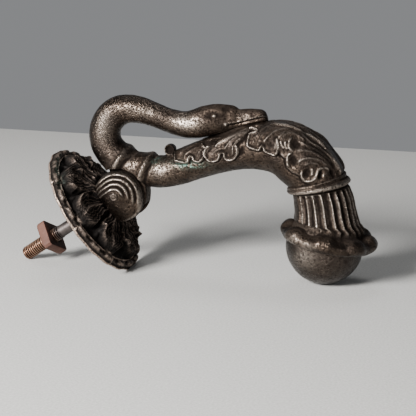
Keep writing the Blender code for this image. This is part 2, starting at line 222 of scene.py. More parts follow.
class Nodes:
    """A small wrapper that adds and links shader nodes."""

    def __init__(self, name):
        self.material = bpy.data.materials.new(name)
        self.material.use_nodes = True
        self.tree = self.material.node_tree
        self.shader = self.tree.nodes["Principled BSDF"]

    def add(self, kind, inputs=None, **settings):
        """A node with its settings, and its inputs given as values or as sockets to link."""
        node = self.tree.nodes.new(kind)
        for key, value in settings.items():
            setattr(node, key, value)
        for key, value in (inputs or {}).items():
            self.put(value, node.inputs[key])
        return node

    def shade(self, name, value):
        """Gives the material's shader one of its inputs."""
        self.put(value, self.shader.inputs[name])

    def put(self, value, socket):
        if isinstance(value, bpy.types.NodeSocket):
            self.tree.links.new(value, socket)
        else:
            socket.default_value = value

    def place(self):
        """Object coordinates, so that the pattern moves with its piece."""
        return self.add("ShaderNodeTexCoord").outputs["Object"]

    def noise(self, scale, detail=4.0, roughness=0.55):
        inputs = {"Vector": self.place(), "Scale": scale, "Detail": detail, "Roughness": roughness}
        return self.add("ShaderNodeTexNoise", inputs).outputs["Fac"]

    def cells(self, scale):
        inputs = {"Vector": self.place(), "Scale": scale}
        return self.add("ShaderNodeTexVoronoi", inputs).outputs["Distance"]

    def ramp(self, value, low, high, start=0.0, end=1.0):
        """A value carried from the range low to high to the range start to end, and kept in it."""
        inputs = {"Value": value, "From Min": low, "From Max": high, "To Min": start, "To Max": end}
        return self.add("ShaderNodeMapRange", inputs).outputs["Result"]

    def math(self, operation, first, second):
        node = self.add("ShaderNodeMath", {0: first, 1: second}, operation=operation)
        return node.outputs["Value"]

    def mix(self, share, first, second):
        inputs = {"Factor": share, "A": first, "B": second}
        return self.add("ShaderNodeMix", inputs, data_type="RGBA").outputs["Result"]

    def attribute(self, name):
        return self.add("ShaderNodeAttribute", attribute_name=name).outputs["Fac"]

    def bump(self, height, distance, strength=1.0, below=None):
        inputs = {"Height": height, "Distance": distance, "Strength": strength}
        if below:
            inputs["Normal"] = below
        return self.add("ShaderNodeBump", inputs).outputs["Normal"]


def colour(red, green, blue):
    """An opaque colour."""
    return (red, green, blue, 1.0)


VERDIGRIS = colour(0.10, 0.17, 0.14)


def cast_bronze(name, dark, warm, bright, hollow, verdigris, base_roughness):
    """Old cast bronze: dark and warm areas, worn edges and painted highlights, dirt and painted shade, pits
    and green spots.
    """
    n = Nodes(name)
    dirt_and_shade = n.attribute("dirt_and_shade")
    cloud = n.noise(60.0, 5.0, 0.6)
    blotch = n.noise(230.0, 4.0, 0.6)
    fine = n.noise(560.0, 4.0, 0.65)
    tone = n.mix(n.ramp(cloud, 0.38, 0.66), dark, warm)
    tone = n.mix(n.ramp(blotch, 0.30, 0.62, 0.65, 0.0), tone, hollow)
    # Rubbed edges and painted highlights both take the bright colour.
    worn_and_highlighted = n.math("MULTIPLY", n.attribute("wear_and_highlight"), n.ramp(fine, 0.25, 0.65, 0.5, 1.0))
    tone = n.mix(worn_and_highlighted, tone, bright)
    # Dirt in hollows and painted shade both take the hollow colour.
    caked_and_shaded = n.math("MULTIPLY", dirt_and_shade, n.ramp(fine, 0.3, 0.75, 1.0, 0.88))
    tone = n.mix(caked_and_shaded, tone, hollow)
    if verdigris:
        spots = n.math("MULTIPLY", n.attribute("green"), n.ramp(fine, 0.42, 0.6, 0.0, verdigris))
        tone = n.mix(spots, tone, VERDIGRIS)
    speckle = n.ramp(n.noise(820.0, 3.0, 0.6), 0.50, 0.60)
    pits = n.math("MULTIPLY", speckle, n.ramp(cloud, 0.30, 0.55, 0.45, 1.0))
    pits = n.math("MULTIPLY", pits, 0.8)
    n.shade("Base Color", n.mix(pits, tone, hollow))
    n.shade("Metallic", n.ramp(dirt_and_shade, 0.0, 1.0, 1.0, 0.6))
    n.shade("Specular IOR Level", 0.12)
    bronze_skin(n, dirt_and_shade, blotch, fine, pits, base_roughness)
    return n.material


def bronze_skin(n, dirt_and_shade, blotch, fine, pits, base_roughness):
    """The bronze's roughness, duller in dirt and pits, and its bumps from broad dents down to grain."""
    grains = n.noise(1500.0, 3.0, 0.6)
    rough = n.ramp(grains, 0.3, 0.7, base_roughness - 0.07, base_roughness + 0.10)
    rough = n.math("ADD", rough, n.math("MULTIPLY", pits, 0.25))
    rough = n.math("ADD", rough, n.math("MULTIPLY", dirt_and_shade, 0.6))
    rough = n.math("ADD", rough, n.ramp(blotch, 0.35, 0.6, 0.12, 0.0))
    n.shade("Roughness", rough)
    pores = n.math("SUBTRACT", n.ramp(n.cells(780.0), 0.0, 0.34), 1.0)
    pores = n.math("MULTIPLY", pores, n.ramp(n.noise(150.0, 3.0), 0.40, 0.56))
    normal = n.bump(blotch, 0.0004, 0.55)
    normal = n.bump(fine, 0.00030, 1.0, normal)
    normal = n.bump(pores, 0.00022, 1.0, normal)
    normal = n.bump(n.math("MULTIPLY", pits, -1.0), 0.00016, 1.0, normal)
    n.shade("Normal", n.bump(grains, 0.00010, 1.0, normal))


def swan_bronze():
    """Brown and glossy; its bright colour shows wear rubbed almost to silver and painted highlights."""
    return cast_bronze("swan_bronze", colour(0.046, 0.036, 0.030), colour(0.112, 0.082, 0.062),
                       colour(0.56, 0.48, 0.41), colour(0.010, 0.007, 0.0055), 0.8, 0.26)


def plate_bronze():
    """Nearly black, with a worn rim."""
    return cast_bronze("plate_bronze", colour(0.018, 0.016, 0.015), colour(0.032, 0.028, 0.026),
                       colour(0.56, 0.43, 0.35), colour(0.009, 0.0075, 0.007), 0.9, 0.44)


def ball_bronze():
    """Greyer than the swan, without green."""
    return cast_bronze("ball_bronze", colour(0.044, 0.036, 0.031), colour(0.100, 0.080, 0.066),
                       colour(0.40, 0.35, 0.30), colour(0.018, 0.012, 0.010), 0.0, 0.27)


def stud_iron():
    """Copper-brown thread, dark grey shank."""
    n = Nodes("stud_iron")
    rust = n.attribute("rust")
    cloud = n.noise(160.0, 4.0)
    tone = n.mix(n.ramp(cloud, 0.35, 0.65), colour(0.050, 0.044, 0.042), colour(0.105, 0.090, 0.084))
    thread = n.mix(n.ramp(cloud, 0.35, 0.7), colour(0.26, 0.145, 0.095), colour(0.56, 0.35, 0.24))
    tone = n.mix(rust, tone, thread)
    tone = n.mix(n.attribute("dirt_and_shade"), tone, colour(0.016, 0.008, 0.006))
    n.shade("Base Color", tone)
    n.shade("Metallic", 0.9)
    n.shade("Roughness", n.ramp(cloud, 0.3, 0.7, 0.32, 0.5))
    n.shade("Normal", n.bump(n.noise(900.0, 3.0), 0.00006))
    return n.material


def nut_rust():
    """Matt pink-brown rust with darker blotches and a pitted skin."""
    n = Nodes("nut_rust")
    cloud = n.noise(120.0, 5.0, 0.6)
    spots = n.noise(520.0, 4.0, 0.6)
    tone = n.mix(n.ramp(cloud, 0.40, 0.60), colour(0.014, 0.0055, 0.0040), colour(0.054, 0.021, 0.014))
    tone = n.mix(n.ramp(spots, 0.56, 0.72), tone, colour(0.050, 0.024, 0.018))
    tone = n.mix(n.attribute("wear_and_highlight"), tone, colour(0.15, 0.072, 0.052))
    n.shade("Base Color", tone)
    n.shade("Metallic", 0.1)
    n.shade("Specular IOR Level", 0.3)
    n.shade("Roughness", n.ramp(spots, 0.3, 0.7, 0.55, 0.8))
    normal = n.bump(cloud, 0.0008, 0.9)
    n.shade("Normal", n.bump(spots, 0.0003, 1.0, normal))
    return n.material


# ---------------------------------------------------------------- the swan's form

# x, z, heading in degrees, half height, half width: from the beak's tip, round the neck, to the skirt.
SWAN_STATIONS = (
    (99.9, 57.4, 178, 0.4, 0.5),
    (99.6, 57.7, 178, 1.0, 1.2),
    (98.9, 58.3, 178, 2.0, 2.2),
    (97.8, 58.8, 179, 3.0, 3.2),
    (96.2, 59.0, 181, 3.7, 4.0),
    (93.5, 58.7, 183, 4.2, 4.5),
    (90.0, 58.3, 184, 4.6, 4.9),
    (86.5, 57.7, 184, 4.9, 5.1),
    (83.9, 57.3, 183, 5.1, 5.4),
    (82.0, 57.5, 181, 5.9, 6.1),
    (80.0, 57.3, 181, 6.9, 6.7),
    (76.0, 56.8, 182, 7.8, 7.6),
    (70.0, 56.0, 188, 8.4, 8.3),
    (64.0, 54.5, 192, 8.4, 8.3),
    (58.0, 52.9, 186, 7.8, 7.8),
    (52.0, 52.5, 176, 7.1, 7.2),
    (44.0, 54.3, 166, 6.6, 6.8),
    (36.0, 56.9, 162, 6.7, 6.9),
    (29.0, 58.9, 168, 7.3, 7.3),
    (22.5, 59.5, 183, 7.8, 7.8),
    (17.0, 58.6, 202, 8.3, 8.2),
    (12.3, 55.7, 225, 8.6, 8.5),
    (8.8, 50.9, 248, 8.7, 8.6),
    (7.4, 45.3, 270, 8.8, 8.7),
    (8.4, 39.4, 292, 8.9, 8.8),
    (12.2, 33.9, 316, 9.2, 9.1),
    (17.2, 29.9, 330, 9.4, 9.3),
    (24.0, 27.1, 332, 9.6, 9.5),
    (31.5, 26.0, 337, 9.6, 9.6),
    (36.5, 25.4, 350, 9.3, 9.5),
    (43.0, 25.6, 366, 9.0, 9.4),
    (52.0, 28.2, 378, 9.2, 9.8),
    (60.0, 31.6, 381, 9.4, 10.4),
    (70.0, 35.4, 380, 9.8, 11.3),
    (80.0, 38.6, 375, 10.2, 12.3),
    (90.0, 41.6, 368, 11.7, 13.5),
    (100.0, 42.5, 360, 13.1, 14.5),
    (107.0, 41.8, 349, 14.1, 15.2),
    (112.5, 39.9, 335, 14.9, 15.7),
    (118.5, 36.2, 318, 15.5, 16.0),
    (122.8, 31.6, 303, 15.3, 15.9),
    (125.8, 27.5, 290, 15.2, 15.8),
    (128.1, 23.8, 282, 15.2, 15.5),
    (129.6, 21.2, 281.5, 15.4, 15.5),
    (130.5, 18.6, 281, 15.7, 15.7),
    (131.4, 15.5, 280, 16.2, 16.2),
    (132.3, 11.0, 276, 16.5, 16.5),
    (133.0, 7.0, 272, 17.2, 17.2),
    (133.7, 3.8, 268, 18.0, 18.0),
)
# How closely the sections follow each other, in mm, by station number.
SWAN_SPACING = ((0, 0.4), (14, 0.45), (16, 0.7), (24, 0.5), (28, 0.4), (43, 0.4), (48, 0.5))
SWAN_COLUMNS = 240
STATION_STEPS = 40  # points on the curve for each station
SEAT_GAP = 0.35  # how far the cuff's seat is clear of the ball
COLLAR_AT = (128.1, 24.0)
SKIRT_AT = (135.1, -5.0)
SKIRT_HEADING = 262
BALL_AT = (132.9, -10.2)
BALL_RADIUS = 21.15
FLUTES = 24
SKIRT_LOBES = 8
FORK_ROOM = 15.6

# A leaf is drawn on the plane y = 0 and carried out to the flanks along this slant, per mm of |y|.
LEAF_SLANT = (0.236, 0.237)
# Lower edges of the leaf lobes along the body, each one open at its top.
LOBE_EDGES = (
    ((48.2, 34.8), (48.2, 33.0), (48.5, 30.9), (50.0, 30.8), (52.0, 30.4), (54.2, 30.4), (56.0, 31.2),
     (56.4, 33.0), (57.4, 34.0)),
    ((57.4, 34.0), (58.3, 33.6), (58.7, 32.3), (60.0, 31.6), (62.2, 31.5), (63.4, 32.6), (64.5, 34.0)),
    ((67.4, 39.2), (65.9, 37.8), (65.0, 36.2), (65.2, 34.6), (66.2, 33.2), (68.0, 32.2), (70.2, 32.3),
     (72.2, 33.1), (73.2, 34.6), (73.5, 36.1), (74.4, 36.9)),
    ((74.4, 36.9), (75.7, 36.7), (75.7, 35.2), (76.6, 33.9), (78.4, 33.6), (80.4, 33.9), (82.0, 35.2),
     (83.2, 37.2), (83.2, 39.2), (82.4, 41.8)),
    ((90.6, 50.7), (92.4, 50.7), (93.7, 50.0), (92.6, 49.0), (90.2, 48.4), (89.2, 47.0), (88.6, 44.8),
     (88.3, 42.6), (88.9, 41.0), (90.4, 40.4), (92.4, 39.9), (94.8, 39.6), (95.6, 41.0), (96.5, 42.0)),
    ((96.5, 42.0), (97.1, 40.8), (97.6, 39.4), (99.2, 38.5), (101.4, 37.9), (103.4, 37.4), (104.6, 38.8),
     (105.0, 41.0), (104.9, 43.4), (104.2, 45.6)),
)
CURL_EDGES = (
    ((112.2, 47.6), (111.2, 45.8), (110.7, 43.6), (110.9, 41.6), (112.0, 40.4), (113.6, 39.6)),
    ((113.2, 38.6), (111.2, 38.5), (110.3, 37.0), (110.2, 35.0), (110.6, 33.0), (111.6, 31.4)),
    ((118.6, 31.0), (118.0, 29.0), (118.3, 26.8), (120.2, 24.9), (122.6, 24.8), (124.8, 26.0), (125.7, 28.2),
     (126.4, 30.6), (128.2, 31.8), (130.4, 31.9), (132.0, 30.8), (132.6, 29.2)),
    ((64.0, 41.6), (64.2, 40.0), (65.5, 39.1), (67.2, 39.3), (69.0, 40.2)),
    ((106.2, 45.2), (106.8, 43.0), (108.4, 40.8)),
    ((108.9, 45.2), (108.8, 42.6), (110.2, 40.4)),
)
# Bowls inside the lobes: x, z, radius along, radius across, turn in degrees, depth.
BOWLS = (
    (51.8, 33.4, 2.6, 2.0, 10, 0.9), (60.6, 34.2, 2.4, 1.8, 15, 0.7), (69.2, 35.6, 3.0, 2.5, 15, 0.8),
    (78.4, 37.0, 2.0, 2.9, -20, 1.0), (91.8, 43.8, 2.3, 3.4, -5, 0.9), (100.6, 41.8, 2.2, 3.0, -15, 1.1),
    (114.6, 44.0, 2.4, 2.8, 20, 1.5), (113.4, 34.8, 1.9, 3.2, 10, 1.4), (120.6, 28.6, 1.7, 2.9, -10, 1.5),
    (127.7, 27.9, 1.1, 2.4, -10, 1.3), (107.6, 41.6, 0.9, 3.6, 5, 0.9), (66.8, 41.8, 2.4, 1.3, 20, 0.7),
    (85.4, 38.4, 1.3, 3.2, -10, 0.8), (105.9, 38.6, 1.0, 2.2, 5, 0.7), (119.6, 50.0, 2.6, 0.9, -30, 0.8),
    (134.0, 29.4, 1.3, 3.0, 25, 0.8), (57.1, 31.6, 0.5, 1.4, 0, 0.5),
)
# Stems and veins: points, height, width.
STEMS = (
    (((62.0, 43.4), (68.0, 45.4), (75.0, 47.4), (82.0, 49.8), (90.0, 52.6)), 0.55, 0.5),
    (((70.0, 39.0), (73.6, 41.8), (78.0, 44.2), (84.0, 47.0), (90.0, 49.4)), 0.9, 0.7),
    (((71.0, 41.4), (75.0, 43.6), (80.0, 46.0), (86.0, 49.0), (92.0, 51.8), (99.0, 54.2)), 0.7, 0.6),
    (((76.0, 38.6), (77.4, 40.6), (79.4, 43.0), (83.0, 45.6), (88.0, 48.0)), 0.7, 0.5),
    (((81.2, 36.0), (80.5, 38.0), (81.0, 40.6), (82.6, 43.4), (86.0, 45.8)), 0.55, 0.5),
    (((68.4, 35.0), (71.0, 37.6), (73.0, 38.8)), 0.4, 0.5),
    (((71.4, 34.2), (72.4, 36.6), (74.0, 38.6)), 0.35, 0.4),
    (((63.6, 43.6), (70.0, 44.0), (76.0, 45.4)), 0.4, 0.4),
    (((65.0, 47.6), (72.0, 47.2), (80.0, 50.2), (88.0, 53.6)), 0.4, 0.6),
    (((53.2, 32.4), (55.0, 35.0), (58.6, 37.6), (63.0, 39.8)), 0.4, 0.5),
    (((50.6, 34.4), (54.0, 37.2), (60.0, 40.6), (66.0, 43.6)), 0.4, 0.5),
    (((60.6, 33.6), (62.2, 36.6), (64.6, 38.6)), 0.35, 0.4),
    (((91.2, 41.6), (92.0, 44.6), (94.4, 48.4), (98.4, 51.6), (104.0, 53.6)), 0.4, 0.5),
    (((94.2, 41.2), (95.0, 44.6), (97.6, 48.6), (102.0, 51.6)), 0.35, 0.5),
    (((96.9, 43.2), (98.4, 45.2), (100.6, 47.4), (103.4, 49.6), (108.0, 51.2), (114.0, 51.4)), 0.75, 0.5),
    (((103.4, 39.6), (103.6, 42.6), (104.4, 45.0), (106.6, 48.0), (110.0, 50.2)), 0.6, 0.7),
    (((106.4, 44.6), (107.8, 47.2), (110.4, 49.0), (114.0, 48.8), (117.4, 47.0), (120.0, 44.4)), 0.6, 0.5),
    (((113.4, 39.8), (117.0, 40.6), (122.0, 40.2), (127.0, 38.2), (131.6, 34.2), (134.6, 29.0)), 0.55, 0.8),
    (((115.0, 33.0), (117.6, 35.6), (121.6, 36.8), (126.2, 36.2), (130.4, 33.6), (132.6, 30.6)), 0.65, 0.8),
    (((119.0, 32.6), (121.4, 34.0), (124.6, 34.2), (127.4, 33.2)), 0.5, 0.6),
    (((114.0, 47.0), (117.6, 44.4), (122.0, 42.6), (127.0, 40.4), (131.4, 36.8), (135.4, 31.0)), 0.4, 0.5),
    (((117.0, 49.8), (119.4, 47.2), (122.4, 44.8), (127.0, 42.6), (131.6, 38.8), (135.6, 33.0),
      (137.4, 28.6)), 0.75, 0.5),
    (((110.6, 55.2), (115.0, 54.0), (120.0, 51.9), (124.4, 49.4), (128.0, 46.2), (131.4, 41.8), (134.6, 36.8),
      (137.4, 31.2), (138.8, 28.0)), 1.0, 0.6),
    (((118.6, 51.0), (122.4, 49.0), (126.0, 46.0), (130.0, 42.0)), 0.5, 0.5),
    (((122.6, 31.8), (123.4, 29.4), (123.2, 27.2)), 0.8, 0.9),
    (((131.6, 30.4), (130.2, 28.8), (129.0, 27.2)), 0.5, 0.6),
    (((100.0, 56.0), (106.0, 54.4), (112.0, 52.6)), 0.4, 0.5),
    (((42.4, 35.0), (44.6, 34.3), (47.8, 34.6)), 0.6, 0.45),
)
# The leafy mantle: the outline inside which the body stands a little higher.
MANTLE_TOP = ((150.0, 62.0), (118.0, 62.0), (48.0, 62.0), (47.4, 42.0), (47.8, 37.0), (48.2, 34.8))
MANTLE_END = ((106.0, 38.0), (109.0, 36.0), (109.8, 31.6), (113.0, 29.0), (117.0, 27.4), (118.6, 24.4),
              (124.0, 22.4), (132.0, 21.0), (150.0, 21.0))
MANTLE_HEIGHT = 1.3
RIDGE_TAPER = 0.14
STEM_SHARE = 0.8
OUTLINE_SHINE = 0.70
CURL_SHINE = 0.65


def tapered(along, share):
    """1 along a line, falling to 0 over RIDGE_TAPER of it at its start and a given share at its end."""
    return step(0.0, RIDGE_TAPER, along) * step(1.0, 1.0 - share, along)


def ridge(x, z, points, rise, width):
    """A raised line with tapered ends."""
    gap, along = distance_to(x, z, smooth_line(points, 6))
    return rise * bell(gap, 0.0, width) * tapered(along, 0.18)


def bowl(x, z, centre, size, turn):
    """A rounded spot of height 1, of the given half sizes, turned by an angle in degrees."""
    lean = radians(turn)
    u = (x - centre[0]) * cos(lean) + (z - centre[1]) * sin(lean)
    v = (z - centre[1]) * cos(lean) - (x - centre[0]) * sin(lean)
    return np.exp(-((u / size[0]) ** 2 + (v / size[1]) ** 2) ** 1.5)


def leaf_relief(x, z):
    """Height of the body's leaves above its plain surface, and how rubbed they are."""
    scallops = [smooth_line(edge, 6) for edge in LOBE_EDGES]
    outline = np.vstack(scallops + [np.array(MANTLE_END), np.array(MANTLE_TOP)])
    gap, _ = distance_to(x, z, np.vstack((outline, outline[:1])))
    signed = np.where(inside(x, z, outline), gap, -gap)
    height = MANTLE_HEIGHT * step(-0.3, 0.2, signed) - 0.35 * bell(signed, -0.8, 0.5)
    shine = np.zeros(x.shape)
    for edge in scallops:
        gap, along = distance_to(x, z, edge)
        height += 0.5 * bell(gap, 0.12, 0.34)
        height -= 0.6 * bell(gap, 1.2, 0.6) * step(0.3, 0.9, signed)
        shine = np.maximum(shine, OUTLINE_SHINE * bell(gap, 0.1, 0.30) * tapered(along, 0.1))
    for edge in CURL_EDGES:
        line = ridge(x, z, edge, 1.0, 0.48)
        height += 0.85 * line
        shine = np.maximum(shine, CURL_SHINE * line ** 2.5)
    for cx, cz, along, across, turn, depth in BOWLS:
        height -= depth * bowl(x, z, (cx, cz), (along, across), turn)
    for points, rise, width in STEMS:
        line = ridge(x, z, points, 1.0, width)
        height += STEM_SHARE * rise * line
        shine = np.maximum(shine, 0.28 * rise * line ** 3)
    return height, shine


HEAD_LINES = (
    (((62.8, 58.4), (65.4, 60.2), (69.6, 60.9), (73.4, 59.8)), 0.15, 0.8),
    (((74.6, 64.5), (75.2, 62.0), (75.4, 59.8), (75.0, 57.6)), -0.4, 1.3),
    (((76.9, 52.4), (80.0, 53.1), (84.4, 54.3), (88.0, 55.5), (93.0, 57.0), (99.0, 58.3)), -0.9, 0.5),
    (((76.2, 53.4), (80.0, 54.3), (84.6, 55.4), (88.0, 56.6), (93.0, 58.0), (99.0, 59.2)), 0.4, 0.45),
    (((77.6, 50.6), (84.0, 52.8), (90.0, 54.9), (96.0, 56.6)), 0.35, 0.5),
    (((84.4, 57.6), (84.8, 56.4), (85.2, 55.6)), 0.35, 0.4),
)
LIPS = 3  # which of them the mouth's shine follows
EYE_AT = (69.7, 57.3)
MOUTH_CORNER = (76.2, 52.9)


def spot(x, z, centre, size, power=1.0):
    """A rounded spot of height 1, of the given half sizes."""
    return np.exp(-(((x - centre[0]) / size[0]) ** 2 + ((z - centre[1]) / size[1]) ** 2) ** power)


def head_relief(x, z):
    """The eye in its hollow, the brow, beak and mouth, with wear along the lip, painted highlights and
    painted shade.
    """
    height = np.zeros(x.shape)
    for points, rise, width in HEAD_LINES:
        height += ridge(x, z, points, rise, width)
    socket = spot(x, z, (EYE_AT[0] - 0.9, EYE_AT[1]), (5.2, 2.2), 1.5)
    eye = spot(x, z, EYE_AT, (1.6, 1.3), 1.3)
    corner = spot(x, z, MOUTH_CORNER, (0.8, 0.7))
    height += 1.6 * eye - 1.5 * socket + 0.7 * corner
    height -= 0.5 * spot(x, z, (76.2, 59.4), (2.2, 3.6))
    height -= 0.35 * spot(x, z, (61.2, 57.6), (0.7, 0.6))
    lips, _ = distance_to(x, z, smooth_line(HEAD_LINES[LIPS][0], 6))
    # Painted highlights: a glint on the eye and a bright spot at the mouth's corner; the line along the lip
    # is wear.
    shine = np.maximum(0.45 * eye ** 3, 0.8 * corner) + 0.3 * bell(lips, 0.0, 0.35)
    # Painted shade: the eye's hollow, the top of the head and bill, and the dip before the beak are darkened.
    crown = step(59.0, 62.0, z) * step(60, 66, x)
    shade = spot(x, z, (EYE_AT[0] - 0.5, EYE_AT[1] + 0.2), (5.6, 2.6), 2.0)
    dark = np.clip(shade * (1 - 0.8 * eye) + 0.6 * crown + 0.7 * spot(x, z, (76.0, 59.6), (2.6, 4.2)), 0, 1)
    return height, shine, dark


def swan_sections():
    """Centre, heading and half sizes of the swan's sections, and the distance run to each."""
    line = smooth_line(SWAN_STATIONS, STATION_STEPS)
    length = np.concatenate(([0], np.cumsum(np.hypot(*np.diff(line[:, :2], axis=0).T))))
    marks = [length[min(index * STATION_STEPS, len(length) - 1)] for index, _ in SWAN_SPACING]
    gaps = [gap for _, gap in SWAN_SPACING]
    run = [0.0]
    while run[-1] < length[-1] - gaps[-1] / 2:
        run.append(run[-1] + float(np.interp(run[-1], marks, gaps)))
    run = np.minimum(run, length[-1])
    return np.column_stack([np.interp(run, length, line[:, k]) for k in range(line.shape[1])]), run


def swept_points(line, around):
    """Points of elliptical sections along a line of stations."""
    lean = np.radians(line[:, 2])[:, None]
    up = line[:, 3, None] * np.cos(around)
    side = line[:, 4, None] * np.sin(around)
    x = line[:, 0, None] - np.sin(lean) * up
    z = line[:, 1, None] + np.cos(lean) * up
    return np.stack((x, side, z), -1)


def station_run(line, run, place, first_half=False):
    """How far along the swan its nearest station to a place is, on the head's half or the body's."""
    middle = int(np.argmin(line[:, 0]))
    part = slice(0, middle) if first_half else slice(middle, None)
    gap = np.hypot(line[part, 0] - place[0], line[part, 1] - place[1])
    return run[part][np.argmin(gap)]


NECK_RINGS = ((17.2, 29.9), (31.5, 26.0))
RING_RISE = 2.1
RING_SPREAD = 0.6  # how much wider a ring is inside the neck's bend
HEAD_ENDS = (58.0, 52.9)
# The band along the back over the leaves: where it starts, its half angle and the height of its edges.
BACK_BAND_FROM = (100.0, 42.5)
BACK_BAND_ANGLE = 0.40
BACK_BAND_RISE = 0.9
FLUTES_FROM = (128.8, 20.7)
FLUTE_DEPTH = 1.5
RIB_LEVEL = 0.85  # where ribs() gives this, the surface stays as it was
# Skirt: distance along its axis and radius at a lobe, then the same between two lobes.
SKIRT_PROFILE = (
    (-7.6, 18.3, -7.6, 18.2), (-6.2, 18.8, -6.2, 18.4), (-5.2, 19.6, -4.7, 18.8), (-5.0, 21.3, -3.5, 19.8),
    (-4.9, 23.0, -2.9, 21.4), (-4.0, 24.7, -2.3, 22.9), (-2.7, 26.0, -1.4, 24.2), (-1.0, 26.8, -0.1, 25.1),
    (0.7, 26.8, 1.3, 25.3), (2.1, 26.1, 2.6, 25.0), (3.1, 25.0, 3.6, 24.3), (3.6, 23.6, 4.0, 23.3),
    (3.5, 22.3, 3.9, 22.2), (3.1, 21.5, 3.3, 21.5),
)
SEAT_ANGLES = (81, 70, 57, 44, 32, 22)


def smoothed(values, rounds):
    """A grid's values blurred; its columns run round and close."""
    result = values.copy()
    for _ in range(rounds):
        result = 0.5 * result + 0.25 * (np.roll(result, 1, 1) + np.roll(result, -1, 1))
        ends = np.concatenate((result[:1], result[:-1])) + np.concatenate((result[1:], result[-1:]))
        result = 0.5 * result + 0.25 * ends
    return result


def cast_noise(points, size, seed):
    """Smooth noise over a grid of points, from -1 to 1, with bumps of about the given size in mm."""
    offset = Vector((seed * 7.1, seed * 3.7, seed * 5.3))
    flat = points.reshape(-1, 3) / size
    values = [noise.noise(Vector(point) + offset) for point in flat.tolist()]
    return np.array(values).reshape(points.shape[:2])


class Relief:
    """What is added to the swan's plain surface: height in mm, shine for wear and painted highlights, and
    dark for dirt and painted shade.
    """

    def __init__(self, shape):
        self.height = np.zeros(shape)
        self.shine = np.zeros(shape)
        self.dark = np.zeros(shape)

    def add(self, height, shine=0.0, dark=0.0, rows=slice(None)):
        self.height[rows] += height
        self.shine[rows] = np.maximum(self.shine[rows], shine)
        self.dark[rows] = np.maximum(self.dark[rows], dark)


def swan_relief(points, around, line, run):
    """All the relief of the swan, over a grid of points with a row for each section."""
    x = points[..., 0] - LEAF_SLANT[0] * np.abs(points[..., 1])
    z = points[..., 2] - LEAF_SLANT[1] * np.abs(points[..., 1])
    at = run[:, None]
    chest = station_run(line, run, NECK_RINGS[1])
    collar = station_run(line, run, COLLAR_AT)
    added = Relief(points.shape[:2])
    head = run < station_run(line, run, HEAD_ENDS, True)
    added.add(*head_relief(x[head], z[head]), head)
    body = (run > chest) & (run < collar - 1.0)
    fade = step(chest + 3, chest + 8, at[body]) * step(collar - 1.5, collar - 3.5, at[body])
    leaves, worn_and_highlighted = leaf_relief(x[body], z[body])
    added.add(leaves * fade, worn_and_highlighted * fade, rows=body)
    added.add(*back_band(at - station_run(line, run, BACK_BAND_FROM), at - collar, around))
    inner = step(0.2, 0.95, np.cos(around))
    for place in NECK_RINGS:
        past = (at - station_run(line, run, place)) / (1 + RING_SPREAD * inner)
        added.add(neck_ring(past) * (1 - 0.35 * inner), 0.30 * bell(past, 0.2, 1.1))
    added.add(collar_moulding(at - collar), 0.45 * bell(at - collar, 0.7, 0.9))
    rib = ribs(around)
    share = step(0.0, 1.0, at - station_run(line, run, FLUTES_FROM))
    added.add(FLUTE_DEPTH * share * (rib - RIB_LEVEL), 0.9 * share * step(0.86, 0.95, rib),
              0.22 * share * step(0.62, 0.2, rib))
    return added


def swan_mesh():
    """Points of the swan from the beak to the lip and up inside it, with its height, shine, and dark for dirt
    and painted shade.
    """
    line, run = swan_sections()
    around = angles(SWAN_COLUMNS)
    points = swept_points(line, around)
    normal = grid_normals(points)
    normal *= np.sign(np.sum(normal * (points - points.mean(axis=1, keepdims=True)), -1).mean())
    added = swan_relief(points, around, line, run)
    lumps = 0.10 * cast_noise(points, 3.2, 1) + 0.05 * cast_noise(points, 1.2, 2)
    points = points + normal * (added.height + lumps)[..., None]
    skirt, height, dark = skirt_rings(around)
    points = make_room_for_fork(np.concatenate((points, skirt)))
    height = np.concatenate((added.height, height))
    shine = np.concatenate((added.shine, np.zeros(dark.shape)))
    return points, height, shine, np.concatenate((added.dark, dark))


def back_band(past_start, past_collar, around):
    """The band along the back over the leaves, hollow between two raised edges, and its shine."""
    band = step(0, 5, past_start) * step(-2, -4, past_collar)
    off_top = (around + pi) % (2 * pi) - pi
    crest = bell(np.abs(off_top), BACK_BAND_ANGLE, 0.05) * band
    return BACK_BAND_RISE * crest - 0.5 * band * bell(off_top, 0.0, 0.22), 0.5 * crest ** 2


def neck_ring(past):
    """A band round the neck: a slow rise, a steep fall and a groove behind it."""
    swell = np.where(past < 0, bell(past, 0.0, 2.4), bell(past, 0.0, 1.8))
    return RING_RISE * swell - 0.7 * bell(past, 3.3, 0.9)


def collar_moulding(past):
    """The collar: a round bead with a thin lip above it."""
    bead = 2.3 * np.clip(1 - (np.abs(past - 0.7) / 1.7) ** 4, 0, 1) ** 0.6
    lip = 1.4 * np.clip(1 - (np.abs(past + 1.8) / 0.9) ** 4, 0, 1) ** 0.6
    return np.maximum(bead, lip) - 0.5 * bell(past, 2.8, 0.4)


def ribs(around):
    """The cuff's uneven ribs: 1 along a rib, 0 in the middle of a hollow, RIB_LEVEL where there are none."""
    turn = around + 0.03 * np.sin(3 * around + 1.0) + 0.014 * np.sin(8 * around + 2.0)
    share = step(0.72, 0.92, np.abs((turn + 2 * pi) % (2 * pi) - pi))
    rib = 1 - np.clip(1.12 * np.abs(np.cos(FLUTES * turn / 2)) - 0.12, 0, 1) ** 0.8
    return share * rib + RIB_LEVEL * (1 - share)


def skirt_point(along, reach, around):
    """Points round the skirt's axis."""
    lean = radians(SKIRT_HEADING)
    up = reach * np.cos(around)
    return np.stack((SKIRT_AT[0] - sin(lean) * up + cos(lean) * along, reach * np.sin(around),
                     SKIRT_AT[1] + cos(lean) * up + sin(lean) * along), -1)


